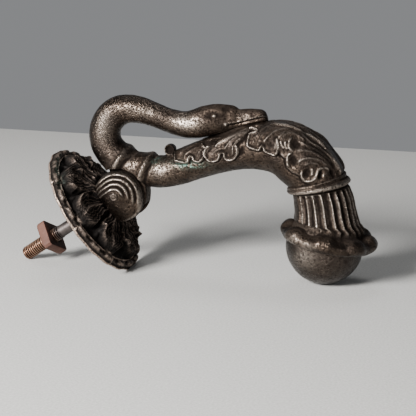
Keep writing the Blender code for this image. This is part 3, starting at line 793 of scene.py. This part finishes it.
def lip_rings(around):
    """Rings over the thick lip, rolled in eight lobes, with their relief and painted shade next to the cuff.
    """
    turn = around + 0.03 * np.sin(2 * around + 0.7)
    petal = step(-0.05, 0.9, (1 + np.cos(SKIRT_LOBES * turn)) / 2)
    curve = smooth_line(SKIRT_PROFILE, 4)
    place = np.arange(len(curve))[:, None] / len(curve)
    lobe_along, lobe, hollow_along, hollow = curve.T[..., None]
    share = step(0.10 + 0.20 * (1 - petal), -0.02, place)
    rib = FLUTE_DEPTH * share * (ribs(around) - RIB_LEVEL)
    reach = hollow + (lobe - hollow) * petal
    rings = skirt_point(hollow_along + (lobe_along - hollow_along) * petal, reach + rib, around)
    # The third value is painted shade: a dark band on the lip next to the cuff.
    return rings, rib + 0.25 * (reach - curve[0, 3]), bell(place, 0.17, 0.13) * np.ones(around.shape)


def seat_rings(around):
    """The round seat inside the lip that the ball sits in, just clear of it."""
    seat = BALL_RADIUS + SEAT_GAP
    lean = radians(SKIRT_HEADING)
    off_x = BALL_AT[0] - SKIRT_AT[0]
    off_z = BALL_AT[1] - SKIRT_AT[1]
    apart = off_x * cos(lean) + off_z * sin(lean)
    rings = []
    for angle in SEAT_ANGLES:
        along = apart - seat * cos(radians(angle))
        rings.append(skirt_point(np.full(around.shape, along), seat * sin(radians(angle)), around))
    rings = np.stack(rings)
    rings[..., 0] += off_x - apart * cos(lean)
    rings[..., 2] += off_z - apart * sin(lean)
    return rings


def skirt_rings(around):
    """The lip, then the ball's seat up inside the cuff, with relief and the lip's painted shade."""
    rings, height, dark = lip_rings(around)
    seat = seat_rings(around)
    plain = np.zeros(seat.shape[:2])
    return np.concatenate((rings, seat)), np.concatenate((height, plain)), np.concatenate((dark, plain))


def make_room_for_fork(points):
    """Pushes the chest off the fork, out to a round hollow about the pin."""
    dx = points[..., 0] - PIVOT[0]
    dz = points[..., 2] - PIVOT[2]
    gap = np.hypot(dx, dz)
    room = FORK_ROOM - 0.8 * step(20, 70, np.degrees(np.arctan2(dz, dx)))
    scale = np.where(gap < room, room / np.maximum(gap, 1e-6), 1.0)
    moved = points.copy()
    moved[..., 0] = PIVOT[0] + dx * scale
    moved[..., 2] = PIVOT[2] + dz * scale
    return moved


# Painted highlights laid on the swan as bright patches, and painted shade as dark patches: x, z, half sizes,
# amount.
PAINTED_HIGHLIGHTS = ((56.0, 54.5, 6.5, 3.4, 0.62), (9.5, 50.0, 4.0, 8.0, 0.26), (30.0, 59.5, 9.0, 3.5, 0.20),
          (41.0, 27.5, 5.0, 4.0, 0.30), (24.0, 30.0, 4.0, 5.0, 0.12), (88.0, 59.0, 5.0, 2.0, 0.10),
          (125.0, 20.5, 5.0, 2.5, 0.40), (131.0, 9.0, 9.0, 7.0, 0.10), (118.0, -3.0, 4.0, 3.0, 0.35),
          (127.0, -6.0, 4.5, 3.0, 0.30))
PAINTED_SHADE = ((73.0, 58.5, 10.0, 5.0, 0.60), (92.0, 31.0, 16.0, 4.0, 0.30), (112.0, 46.0, 13.0, 8.0, 0.35),
        (84.0, 50.0, 12.0, 4.0, 0.55), (66.0, 38.0, 20.0, 5.0, 0.35), (97.0, 43.0, 10.0, 7.0, 0.45),
        (124.0, 34.0, 10.0, 9.0, 0.30), (90.0, 58.0, 7.0, 2.5, 0.30))


def swan_casting(finish):
    """The swan: rubbed along its relief, with painted highlights and painted shade in patches, dirty in its
    hollows.
    """
    points, height, shine, dark = swan_mesh()
    wear_and_highlight = np.clip(0.24 * step(0.15, 0.60, height - smoothed(height, 12)) + shine, 0, 1)
    # Dirt in the hollows and between the cuff's ribs, with painted shade from the head and the lip.
    dirt_and_shade = np.maximum(step(0.03, 0.5, smoothed(height, 30) - height), dark)
    x, side, z = np.moveaxis(points, -1, 0)
    # Painted highlights: bright patches on the neck, loop, chest, bill, collar, cuff and lip.
    for patch_x, patch_z, long, high, amount in PAINTED_HIGHLIGHTS:
        wear_and_highlight = np.maximum(wear_and_highlight, amount * spot(x, z, (patch_x, patch_z), (long, high)))
    # Painted shade: dark patches over the head, the bill, the belly and the leaves.
    for patch_x, patch_z, long, high, amount in PAINTED_SHADE:
        patch = spot(x, z, (patch_x, patch_z), (long, high), 1.5)
        dirt_and_shade = np.maximum(dirt_and_shade, amount * patch * (1 - wear_and_highlight))
    green = bell(x, 39.0, 3.0) * bell(z, 33.0, 2.5) + 1.2 * bell(x, 60.0, 9.0) * bell(z, 31.6, 2.0)
    green *= step(1, 5, np.abs(side))
    return bronze_piece("swan_casting", points, capped_grid(points), finish, wear_and_highlight, dirt_and_shade, green)


SCROLL_AT = (45.3, 38.0)
SCROLL_RADIUS = 3.0
SCROLL_HALF_WIDTH = 2.6
# From the middle of an end over its rim to halfway along: radius as drawn, and mm in from the end.
SCROLL_END = ((0.0, 1.1), (0.9, 1.0), (1.6, 0.7), (2.0, 0.1), (2.35, 0.0), (2.6, 0.3), (2.75, 0.9),
              (2.8, SCROLL_HALF_WIDTH))
SCROLL_DRAWN = 2.7
SCROLL_SCALE = SCROLL_RADIUS / SCROLL_DRAWN


def volute(finish):
    """The small scroll that stands on the back where the leaves begin: a roll with dished ends."""
    around = angles(64)
    half = smooth_line([(radius, inset - SCROLL_HALF_WIDTH) for radius, inset in SCROLL_END], 3)
    profile = np.vstack((half, (half * (1, -1))[-2::-1]))
    radius = profile[:, 0]
    points = turned(SCROLL_AT, [(y, max(r * SCROLL_SCALE, 0.02)) for r, y in profile], around)
    # Painted highlight: the rim is brightened on its left and lower side only.
    rim = step(2.0, 2.3, radius)[:, None] * step(-0.2, 0.7, -np.cos(around - 0.9))
    hollow = step(2.5, 2.1, radius)[:, None]
    return bronze_piece("swan_volute", points, capped_grid(points), finish, rim, hollow)


EYE_WIDTH = 10.0
EYE_EDGE = 0.6
EYE_BORE = 2.8


def eye_radius(angle):
    """The eye's outline about the pin, at angles in degrees from +X."""
    wide = step(-34, -22, angle) * step(125, 110, angle)
    lift = step(20, 32, angle) * step(122, 108, angle)
    return 10.0 + 5.2 * wide + 4.0 * lift


def swan_eye(finish):
    """The flat eye that turns between the fork's cheeks, bored for the pin."""
    angle = np.linspace(-90, 270, 180, endpoint=False)
    outer = eye_radius(angle)
    half = EYE_WIDTH / 2
    side = ((half - EYE_EDGE, outer), (half - 0.25, outer - 0.15), (half, outer - EYE_EDGE), (half, EYE_BORE))
    profile = [(-y, radius) for y, radius in side[::-1]] + list(side)
    profile.append(profile[0])
    points = turned(PIVOT[::2], profile, np.radians(angle))
    faces = grid_faces(len(points), len(angle), True)
    # Painted shade: the eye is darkened all over, as it sits between the cheeks.
    return bronze_piece("swan_eye", points, faces, finish, dirt_and_shade=0.35, sharp=40)


# ---------------------------------------------------------------- ball

BALL_ROWS = 160
BALL_COLUMNS = 240
BALL_DENTS = 46
BALL_TOP = pi - 0.24  # where its skin ends inside the cuff and the spigot begins
SPIGOT_RADIUS = 5.0
SPIGOT_ENDS = (20.6, 30.9)


def striker_ball(finish):
    """The ball, with shallow dents, a painted highlight low on each flank, darker towards the cuff, and its
    spigot inside.
    """
    lean = radians(SKIRT_HEADING)
    down = np.array((cos(lean), 0.0, sin(lean)))
    out = np.array((-sin(lean), 0.0, cos(lean)))
    turn = np.linspace(0.003, BALL_TOP, BALL_ROWS)[:, None, None]
    around = angles(BALL_COLUMNS)[:, None]
    off_axis = np.cos(around) * out + np.sin(around) * np.array((0.0, 1.0, 0.0))
    direction = np.cos(turn) * down + np.sin(turn) * off_axis
    radius = np.full(direction.shape[:2], BALL_RADIUS)
    for _ in range(BALL_DENTS):
        dent = RNG.normal(size=3)
        dent /= np.linalg.norm(dent)
        size = RNG.uniform(0.04, 0.12)
        radius -= RNG.uniform(0.02, 0.07) * np.exp(-((1 - direction @ dent) / (size * size)))
    centre = np.array((BALL_AT[0], 0.0, BALL_AT[1]))
    points = centre + direction * radius[..., None]
    points[..., 2] = np.maximum(points[..., 2], TABLE)
    spigot = [centre - down * back + SPIGOT_RADIUS * off_axis for back in SPIGOT_ENDS]
    points = np.concatenate((points, np.stack(spigot)))
    x, _, z = np.moveaxis(points - centre, -1, 0)
    # Painted highlight: a bright patch left of and below the ball's middle, on both flanks.
    wear_and_highlight = 0.42 * bell(x, -8.0, 6.0) * bell(z, -4.0, 5.0)
    dirt_and_shade = 0.5 * step(0.0, 9.0, z)
    return bronze_piece("striker_ball_cast", points, capped_grid(points), finish, wear_and_highlight, dirt_and_shade)


# ---------------------------------------------------------------- fork and pin

# Half width of the knuckle by distance from the pin, and the radii of its terraces' lips.
KNUCKLE_DOME = ((0.0, 17.0), (4.6, 16.9), (5.1, 16.6), (5.7, 15.7), (7.2, 15.5), (7.8, 15.1), (8.4, 14.0),
                (9.8, 13.8), (10.4, 13.3), (10.9, 12.2), (12.2, 11.9), (12.8, 11.3), (13.3, 10.0),
                (13.8, 8.6), (14.1, 6.9))
KNUCKLE_LIPS = (4.8, 7.5, 10.1, 12.5)


def knuckle_height(radius):
    """Half width at a distance from the pin: a terraced dome with a rounded lip to each step."""
    height = np.interp(radius, *np.transpose(KNUCKLE_DOME))
    for lip in KNUCKLE_LIPS:
        height += 0.38 * bell(radius, lip, 0.6) - 0.3 * bell(radius, lip + 1.3, 0.45)
    return height


FORK_EDGE = 14.1
FORK_SLOT = 5.4
FORK_FOOT = 12.5
HEEL_SAG = 0.11  # how much further the outer rings reach on the fork's lower side
FORK_FLATTEN = 0.06  # and how much less on its upper side
FORK_OUT = 0.97  # how far they reach out from the door, against across
FOOT_NARROW = 0.55
FOOT_THIN = 0.34
STRAIGHT_POINTS = 24
ARC_POINTS = 97
DOME_RINGS = 106
BASE_RADIUS = 11.9
POST_HEIGHTS = (10.8, 13.0, 15.0)
# The round base in the plate's socket, bored for the stud: height and radius.
FORK_BASE = ((5.5, 4.3), (5.5, 11.6), (5.8, 11.95), (10.9, 11.95), (10.9, 4.3), (5.5, 4.3))


def cheek_path():
    """Round a cheek from foot to foot: shares of a ring's radius across and outwards, and heights."""
    straight = np.linspace(FORK_FOOT, PIVOT_HEIGHT, STRAIGHT_POINTS, endpoint=False)
    arc = np.linspace(-pi / 2, pi / 2, ARC_POINTS)
    across = np.concatenate((np.full(STRAIGHT_POINTS, -1.0), np.sin(arc), np.ones(STRAIGHT_POINTS)))
    out = np.concatenate((np.zeros(STRAIGHT_POINTS), np.cos(arc), np.zeros(STRAIGHT_POINTS)))
    height = np.concatenate((straight, np.full(ARC_POINTS, PIVOT_HEIGHT), straight[::-1]))
    return across, out, height


def cheek_profile():
    """Radius and half width of a cheek's rings: over the dome, round its edge and back along the slot."""
    profile = [(r, float(knuckle_height(r))) for r in np.linspace(0.0, FORK_EDGE, DOME_RINGS)]
    profile += [(FORK_EDGE + 0.1, 6.2), (FORK_EDGE, 5.7), (FORK_EDGE - 0.3, FORK_SLOT)]
    profile += [(r, FORK_SLOT) for r in np.linspace(FORK_EDGE - 0.8, 0.0, 16)]
    return profile


def cheek_points(sign):
    """Points of a cheek: terraced above, plain and fuller below, narrower and thinner at its foot."""
    across, out, height = cheek_path()
    drop = (PIVOT_HEIGHT - height) / (PIVOT_HEIGHT - FORK_FOOT)
    narrow = np.sqrt(1 - (FOOT_NARROW * drop) ** 2)
    thin = 1 - FOOT_THIN * drop ** 2
    rings = []
    for r, half in cheek_profile():
        outer = float(step(5, 11, r))
        low = step(0.1 + 0.5 * outer, 0.75 + 0.22 * outer, -across)
        reach = 1.0 + HEEL_SAG * step(0.1, 0.9, -across) * float(step(8, 14, r))
        reach -= FORK_FLATTEN * step(0.0, 0.9, across)
        plain = min(16.9 - 0.034 * r * r, 6.9 + 12 * max(FORK_EDGE - r, 0.0))
        sides = np.full(across.shape, half)
        if half > FORK_SLOT + 0.4:
            sides = half + (plain - half) * 0.92 * low
            sides = FORK_SLOT + (sides - FORK_SLOT) * thin
        rings.append(on_axis(across * narrow * r * reach, -sign * sides, height + out * r * FORK_OUT))
    return np.stack(rings)


def fork_cheek(sign):
    """A cheek's points, faces, terrace wear with painted highlight above, darker between terraces and in the
    slot.
    """
    points = cheek_points(sign)
    rows, columns = points.shape[:2]
    depth = np.abs(points[..., 1])
    smooth = depth.copy()
    for _ in range(30):
        smooth[1:-1] = 0.5 * smooth[1:-1] + 0.25 * (smooth[:-2] + smooth[2:])
    bend = depth - smooth
    bend[DOME_RINGS:] = 0
    # Painted highlight: the terraces' wear is brighter on the upper side, where the light falls.
    bright = 0.56 + 0.40 * step(-0.9, 0.5, cheek_path()[0])
    wear_and_highlight = bright * step(0.06, 0.30, bend)
    in_slot = step(DOME_RINGS + 1, DOME_RINGS + 5, np.arange(rows))[:, None]
    dirt_and_shade = np.clip(step(0.04, 0.3, -bend) + in_slot, 0, 1)
    faces = grid_faces(rows, columns, False)
    faces.append([row * columns for row in range(rows)])
    faces.append([row * columns + columns - 1 for row in range(rows)][::-1])
    return points, faces, wear_and_highlight, dirt_and_shade


def fork_base():
    """The round base, dark all over."""
    around = angles(96)
    points = np.stack([round_axis(radius, around, height) for height, radius in FORK_BASE])
    return points, grid_faces(len(points), len(around), True), 0.0, 1.0


def fork_post(sign):
    """A segment of a disc between the base and a cheek, on one side of the slot."""
    limit = np.arcsin(FORK_SLOT / BASE_RADIUS)
    turn = np.linspace(limit, pi - limit, 40)
    across = BASE_RADIUS * np.cos(turn)
    side = sign * BASE_RADIUS * np.sin(turn)
    points = np.stack([on_axis(across, side, height) for height in POST_HEIGHTS])
    return points, capped_grid(points), 0.0, 1.0


def pivot_fork(finish):
    """The knuckle: two cheeks on posts on a round base, closed skins joined in one mesh."""
    skins = [fork_cheek(-1), fork_cheek(1), fork_base(), fork_post(-1), fork_post(1)]
    points = np.concatenate([own_points.reshape(-1, 3) for own_points, _, _, _ in skins])
    wear_and_highlight = []
    dirt_and_shade = []
    faces = []
    for own_points, own_faces, worn, dirty in skins:
        shape = own_points.shape[:2]
        faces += [[index + len(wear_and_highlight) for index in face] for face in own_faces]
        wear_and_highlight.extend(np.broadcast_to(worn, shape).ravel())
        dirt_and_shade.extend(np.broadcast_to(dirty, shape).ravel())
    return bronze_piece("fork_cast", points, faces, finish, np.array(wear_and_highlight), np.array(dirt_and_shade), sharp=50)


# One head of the pin: distance from the arm's plane and radius, from the middle outwards.
PIN_HEAD = ((17.5, 0.4), (17.4, 0.9), (17.5, 1.4), (17.5, 1.8), (17.3, 2.2), (17.0, 2.45), (16.3, 2.5))


def hinge_pin(finish):
    """The pin, with a low rounded head at each end."""
    profile = [(-y, radius) for y, radius in PIN_HEAD] + list(PIN_HEAD[::-1])
    points = turned(PIVOT[::2], profile, angles(64))
    wear_and_highlight = np.array([0.12 if abs(y) > 17.4 else 0.0 for y, _ in profile])[:, None]
    return bronze_piece("pin_turned", points, capped_grid(points), finish, wear_and_highlight)


# ---------------------------------------------------------------- plate

PLATE_COLUMNS = 480
PLATE_LEAVES = 8
PLATE_BUMPS = 20
# The plate's front without its leaves, and the crest of the leaves: distance from the axis, height.
PLATE_GROUND = ((12.3, 12.2), (13.5, 11.6), (16.0, 9.8), (20.0, 7.8), (25.0, 6.6), (29.0, 5.4), (32.0, 4.0),
                (33.3, 3.4), (35.5, 3.4), (37.6, 3.2), (38.4, 2.6), (38.9, 1.7))
PLATE_CREST = ((12.3, 12.2), (13.5, 12.8), (15.5, 12.6), (18.0, 11.6), (21.0, 10.6), (24.0, 10.2),
               (27.0, 10.1), (29.5, 9.9), (31.4, 9.0), (32.8, 7.0), (34.0, 4.8), (35.0, 3.4))
# Half angle of a leaf in degrees by distance from the axis.
LEAF_SPREAD = ((12.3, 20.0), (15.0, 17.0), (18.0, 18.5), (22.0, 20.5), (26.0, 21.0), (29.0, 18.5),
               (31.5, 13.0), (33.5, 7.0), (34.6, 1.0))
VEIN_SPACING = 1.9
LEAF_BOWLS = ((20.5, 3.6, 2.6, 2.4), (26.6, 4.6, 3.0, 3.2))
BEAD_AT = 34.4
BUMPS_AT = 36.7


def leaf_frame(radius, angle):
    """Where a place on the plate lies in its leaf: mm off the leaf's midrib and mm to its edge."""
    pitch = 360 / PLATE_LEAVES
    turn = np.degrees(angle) + 6.0 * np.sin((radius - 14) / 6.5)
    off = (turn + pitch / 2) % pitch - pitch / 2
    scallop = np.abs(np.sin((radius - 1.0) * pi / 5.2))
    width = np.interp(radius, *np.transpose(LEAF_SPREAD)) * (0.90 + 0.14 * scallop)
    arc = radians(1) * radius
    return arc * off, arc * (width - np.abs(off))


def plate_front(radius, angle):
    """Height of the plate's front, veined leaves on a dished ground inside a bumpy rim, and its veins."""
    ground = np.interp(radius, *np.transpose(PLATE_GROUND))
    crest = np.interp(radius, *np.transpose(PLATE_CREST))
    off, edge = leaf_frame(radius, angle)
    leaf = step(-0.4, 0.9, edge)
    on_leaf = step(13.2, 15.5, radius) * step(33.6, 31.5, radius)
    height = ground + (crest - ground) * leaf
    height += 0.55 * bell(edge, 0.7, 0.45) * step(33.8, 31.5, radius)
    height += 0.9 * bell(off, 0.0, 0.6) * on_leaf
    vein = np.abs((edge - 0.7 + VEIN_SPACING / 2) % VEIN_SPACING - VEIN_SPACING / 2)
    height += 0.42 * bell(vein, 0.0, 0.30) * on_leaf * leaf
    for along, across, long, wide in LEAF_BOWLS:
        ring = np.hypot((radius - along) / long, (np.abs(off) - across) / wide)
        height -= 0.7 * np.exp(-ring ** 4) * leaf
    pitch = 2 * pi / PLATE_LEAVES
    between = radius * np.abs((angle + pitch) % pitch - pitch / 2)
    height += 2.6 * bell(between, 0.0, 1.2) * step(20, 25, radius) * step(33.4, 30.5, radius)
    height += 0.8 * bell(radius, BEAD_AT, 0.4)
    bump = step(0.18, 0.62, (1 - np.cos(PLATE_BUMPS * angle)) / 2)
    height += 1.5 * bump * np.sqrt(np.clip(1 - ((radius - BUMPS_AT) / 1.7) ** 2, 0, 1))
    lines = np.maximum(bell(vein, 0.0, 0.22) * on_leaf * leaf, bell(off, 0.0, 0.3))
    return height, lines * on_leaf


# The front's rings lie evenly between these radii, and two more go round the edge.
FRONT_RADII = (12.3, 38.4)
FRONT_RINGS = 118
EDGE_RADII = (38.7, 38.95)
# The rest of the plate's section: rim, flat back rim, hollow, boss, bolt hole and socket.
PLATE_BACK = ((39.15, 1.1), (39.15, 0.5), (38.7, 0.0), (33.4, 0.0), (32.4, 2.2), (28.0, 5.0), (15.0, 5.4),
              (14.3, 0.2), (14.0, 0.0), (4.6, 0.0), (4.6, 5.2), (12.3, 5.2))
RIM_SCALLOP = 0.6


def front_wear(front, lines, radii):
    """Wear and dirt of the plate's front: bright on veins, bead and rim, dark in the leaves' hollows."""
    above = front - smoothed(front, 10)
    broad = front - smoothed(front, 60)
    rim = step(33.4, 34.4, radii)
    wear_and_highlight = 0.42 * lines + step(0.05, 0.3, above) * 0.30 * rim + 0.10 * rim
    wear_and_highlight += 0.35 * bell(radii, BEAD_AT, 0.4)
    dirt_and_shade = np.maximum(step(0.1, 1.2, -broad), 0.42 * (1 - rim)) * (1 - 0.8 * lines)
    return np.clip(wear_and_highlight, 0, 1), dirt_and_shade


def rosette(finish):
    """The plate as one closed skin."""
    angle = angles(PLATE_COLUMNS)[None]
    radii = np.concatenate((np.linspace(*FRONT_RADII, FRONT_RINGS), EDGE_RADII))[:, None]
    front, lines = plate_front(radii, angle)
    front += 0.12 * cast_noise(round_axis(radii, angle, front), 2.2, 3)
    back_radii, back = np.array(PLATE_BACK).T[..., None]
    radius = np.concatenate((radii, back_radii, radii[:1]))
    height = np.concatenate((front, back * np.ones_like(angle), front[:1]))
    scallop = RIM_SCALLOP * (1 + np.cos(PLATE_BUMPS * angle)) / 2
    points = round_axis(radius - scallop * step(36.5, 38.5, radius), angle, height)
    points[..., 2] = np.maximum(points[..., 2], TABLE)
    wear_and_highlight = np.zeros(height.shape)
    dirt_and_shade = np.ones(height.shape)
    front_rows = len(radii)
    wear_and_highlight[:front_rows], dirt_and_shade[:front_rows] = front_wear(front, lines, radii)
    wear_and_highlight[front_rows:-1] = 0.90 * step(33.5, 38, back_radii)
    dirt_and_shade[front_rows:-1] = step(37.5, 33.5, back_radii)
    green = bell(radius, 35.6, 1.6) * bell(angle, 0.62, 0.4)
    faces = grid_faces(len(points), PLATE_COLUMNS, True)
    return bronze_piece("plate_cast", points, faces, finish, wear_and_highlight, dirt_and_shade, green, sharp=60)


# ---------------------------------------------------------------- stud and nut

STUD_END = -49.8
THREAD_TOP = -24.0
THREAD_RUNOUT = 1.5
PITCH = 1.25
TURN_STEPS = 12
THREAD_ROOT = 3.3
THREAD_DEPTH = 0.7
SHANK_STEP = 0.3
SHANK_HEIGHTS = (-18.0, -8.0, 0.0, 8.4, 9.2)


def threaded_stud(finish):
    """The stud with a true helical thread at its free end, and a plain shank into the fork."""
    around = angles(48)
    threaded = np.arange(STUD_END, THREAD_TOP + 2, PITCH / TURN_STEPS)
    height = np.concatenate((threaded, SHANK_HEIGHTS))[:, None]
    phase = (height / PITCH + around / (2 * pi)) % 1
    crest = np.clip(1.25 - 2.9 * np.abs(phase - 0.5), 0, 1)
    runout = THREAD_TOP + THREAD_RUNOUT
    share = step(STUD_END, STUD_END + 0.9, height) * step(runout, THREAD_TOP, height)
    radius = THREAD_ROOT + THREAD_DEPTH * crest * share + SHANK_STEP * step(THREAD_TOP, runout, height)
    radius *= np.where(height < STUD_END + 0.1, 0.86, 1.0)
    radius -= np.where(height > 9, 0.7, 0.0)
    points = round_axis(radius, around, height)
    values = {"rust": step(-24, -30, height), "dirt_and_shade": step(0.0, 0.75, 1 - crest) * share}
    return piece("stud_turned", points, capped_grid(points), finish, values)


NUT_FACE = -27.8
NUT_THICK = 5.6
NUT_HALF = 8.3
NUT_TURN = radians(57.5)
NUT_CORNER_CUT = 0.9
NUT_BORE = 4.35


def square_nut(finish):
    """The square nut: worn corners, softened edges and a plain bore that clears the thread."""
    around = angles(160)
    to_side = (around + pi / 4) % (pi / 2) - pi / 4
    outline = np.minimum(NUT_HALF / np.cos(to_side), NUT_HALF * sqrt(2) - NUT_CORNER_CUT)
    top = NUT_FACE
    low = NUT_FACE - NUT_THICK
    profile = (  # radius, height, wear
        (NUT_BORE, top - 0.5, 0), (4.7, top, 0), (outline - 0.7, top, 0), (outline - 0.2, top - 0.15, 0.5),
        (outline, top - 0.6, 0.5), (outline, low + 1.0, 0.5), (outline - 0.15, low + 0.6, 0.5),
        (np.minimum(outline - 0.5, 9.6), low + 0.12, 0), (np.minimum(outline - 1.0, 8.8), low, 0),
        (4.7, low, 0), (NUT_BORE, low + 0.5, 0), (NUT_BORE, top - 0.5, 0),
    )
    points = np.stack([round_axis(radius, around + NUT_TURN, height) for radius, height, _ in profile])
    wear_and_highlight = np.array([amount for _, _, amount in profile])[:, None]
    faces = grid_faces(len(points), len(around), True)
    return piece("nut_forged", points, faces, finish, {"wear_and_highlight": wear_and_highlight}, sharp=30)


# ---------------------------------------------------------------- setting

CAMERA_AZIMUTH = radians(13.3)
CAMERA_ELEVATION = radians(13.0)
CAMERA_ROLL = radians(0.9)
CAMERA_DISTANCE = 700.0
CAMERA_AIM = (67.2, 0.0, 6.2)
CAMERA_LENS = 109.15
FLOOR_X = (-1.2, 1.6)
FLOOR_Y = (-1.6, 0.42)
LIGHT_AIM = (0.0, 0.0, 0.04)
# The surround's grey by height, from the horizon up.
SHADES = ((0.0, (0.245, 0.25, 0.258)), (0.22, (0.215, 0.22, 0.23)), (0.5, (0.08, 0.082, 0.086)),
          (1.0, (0.05, 0.05, 0.052)))


def placed(name, data):
    """A new object in the scene."""
    made = bpy.data.objects.new(name, data)
    bpy.context.scene.collection.objects.link(made)
    return made


def camera():
    """The camera, looking at the knocker from its front, a little right and above."""
    level = cos(CAMERA_ELEVATION)
    back = np.array((sin(CAMERA_AZIMUTH) * level, -cos(CAMERA_AZIMUTH) * level, sin(CAMERA_ELEVATION)))
    made = placed("camera", bpy.data.cameras.new("camera"))
    made.data.lens = CAMERA_LENS
    made.data.clip_start = 0.05
    made.location = world(np.array(CAMERA_AIM) + back * CAMERA_DISTANCE).tolist()
    facing = Vector((-back).tolist()).to_track_quat("-Z", "Y").to_matrix()
    made.rotation_euler = (facing @ Matrix.Rotation(CAMERA_ROLL, 3, "Z")).to_euler()
    bpy.context.scene.camera = made


def floor():
    """A plain pale tabletop whose far edge shows behind the knocker."""
    mesh = bpy.data.meshes.new("floor")
    corners = [(FLOOR_X[i], FLOOR_Y[j], 0) for i, j in ((0, 0), (1, 0), (1, 1), (0, 1))]
    mesh.from_pydata(corners, [], [(0, 1, 2, 3)])
    made = placed("floor", mesh)
    n = Nodes("pale_floor")
    speckle = n.ramp(n.noise(900.0, 3.0), 0.3, 0.7)
    tone = n.mix(speckle, colour(0.42, 0.42, 0.405), colour(0.56, 0.56, 0.545))
    n.shade("Base Color", tone)
    n.shade("Roughness", 0.8)
    mesh.materials.append(n.material)


def light(name, place, energy, size, tint=(1.0, 1.0, 1.0)):
    """A soft rectangular lamp aimed at the knocker."""
    data = bpy.data.lights.new(name, "AREA")
    data.energy = energy
    data.color = tint
    data.shape = "RECTANGLE"
    data.size, data.size_y = size
    made = placed(name, data)
    made.location = place
    made.rotation_euler = (Vector(LIGHT_AIM) - Vector(place)).to_track_quat("-Z", "Y").to_euler()


def surround():
    """A grey surround, palest near the horizon, seen behind the knocker and mirrored in its metal."""
    made = bpy.data.worlds.new("studio")
    bpy.context.scene.world = made
    made.use_nodes = True
    tree = made.node_tree
    place = tree.nodes.new("ShaderNodeTexCoord")
    split = tree.nodes.new("ShaderNodeSeparateXYZ")
    ramp = tree.nodes.new("ShaderNodeValToRGB")
    tree.links.new(place.outputs["Generated"], split.inputs["Vector"])
    tree.links.new(split.outputs["Z"], ramp.inputs["Fac"])
    tree.links.new(ramp.outputs["Color"], tree.nodes["Background"].inputs["Color"])
    stops = ramp.color_ramp.elements
    stops[0].color = colour(*SHADES[0][1])
    stops[1].color = colour(*SHADES[-1][1])
    for height, shade in SHADES[1:-1]:
        stops.new(height).color = colour(*shade)


def lights():
    """A warm key from the front left, a weak cool fill and a soft light from above."""
    surround()
    light("key", (-0.47, -0.86, 0.50), 42.0, (0.34, 0.34), (1.0, 0.98, 0.96))
    light("fill", (0.8, -0.7, 0.35), 1.0, (0.5, 0.5), (0.95, 0.98, 1.0))
    light("top", (-0.1, 0.35, 0.9), 2.0, (0.5, 0.3))


def dress_frame():
    """Every visual piece, on its body, in place of its CAD node."""
    bronze = swan_bronze()
    for made, body, node, slot in (
        (swan_casting(bronze), ARM_BODY, "swan_arm", "bronze"),
        (swan_eye(bronze), ARM_BODY, "swan_arm", "bronze"),
        (volute(bronze), ARM_BODY, "swan_arm", "bronze"),
        (striker_ball(ball_bronze()), ARM_BODY, "striker_ball", "dull_bronze"),
        (pivot_fork(bronze), PLATE_BODY, "pivot_fork", "bronze"),
        (hinge_pin(bronze), PLATE_BODY, "hinge_pin", "bronze"),
        (rosette(plate_bronze()), PLATE_BODY, "rosette", "black_bronze"),
        (threaded_stud(stud_iron()), PLATE_BODY, "threaded_stud", "iron"),
        (square_nut(nut_rust()), PLATE_BODY, "square_nut", "rusty_iron"),
    ):
        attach(made, body)
        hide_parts(node)


camera()
floor()
lights()
dress_frame()
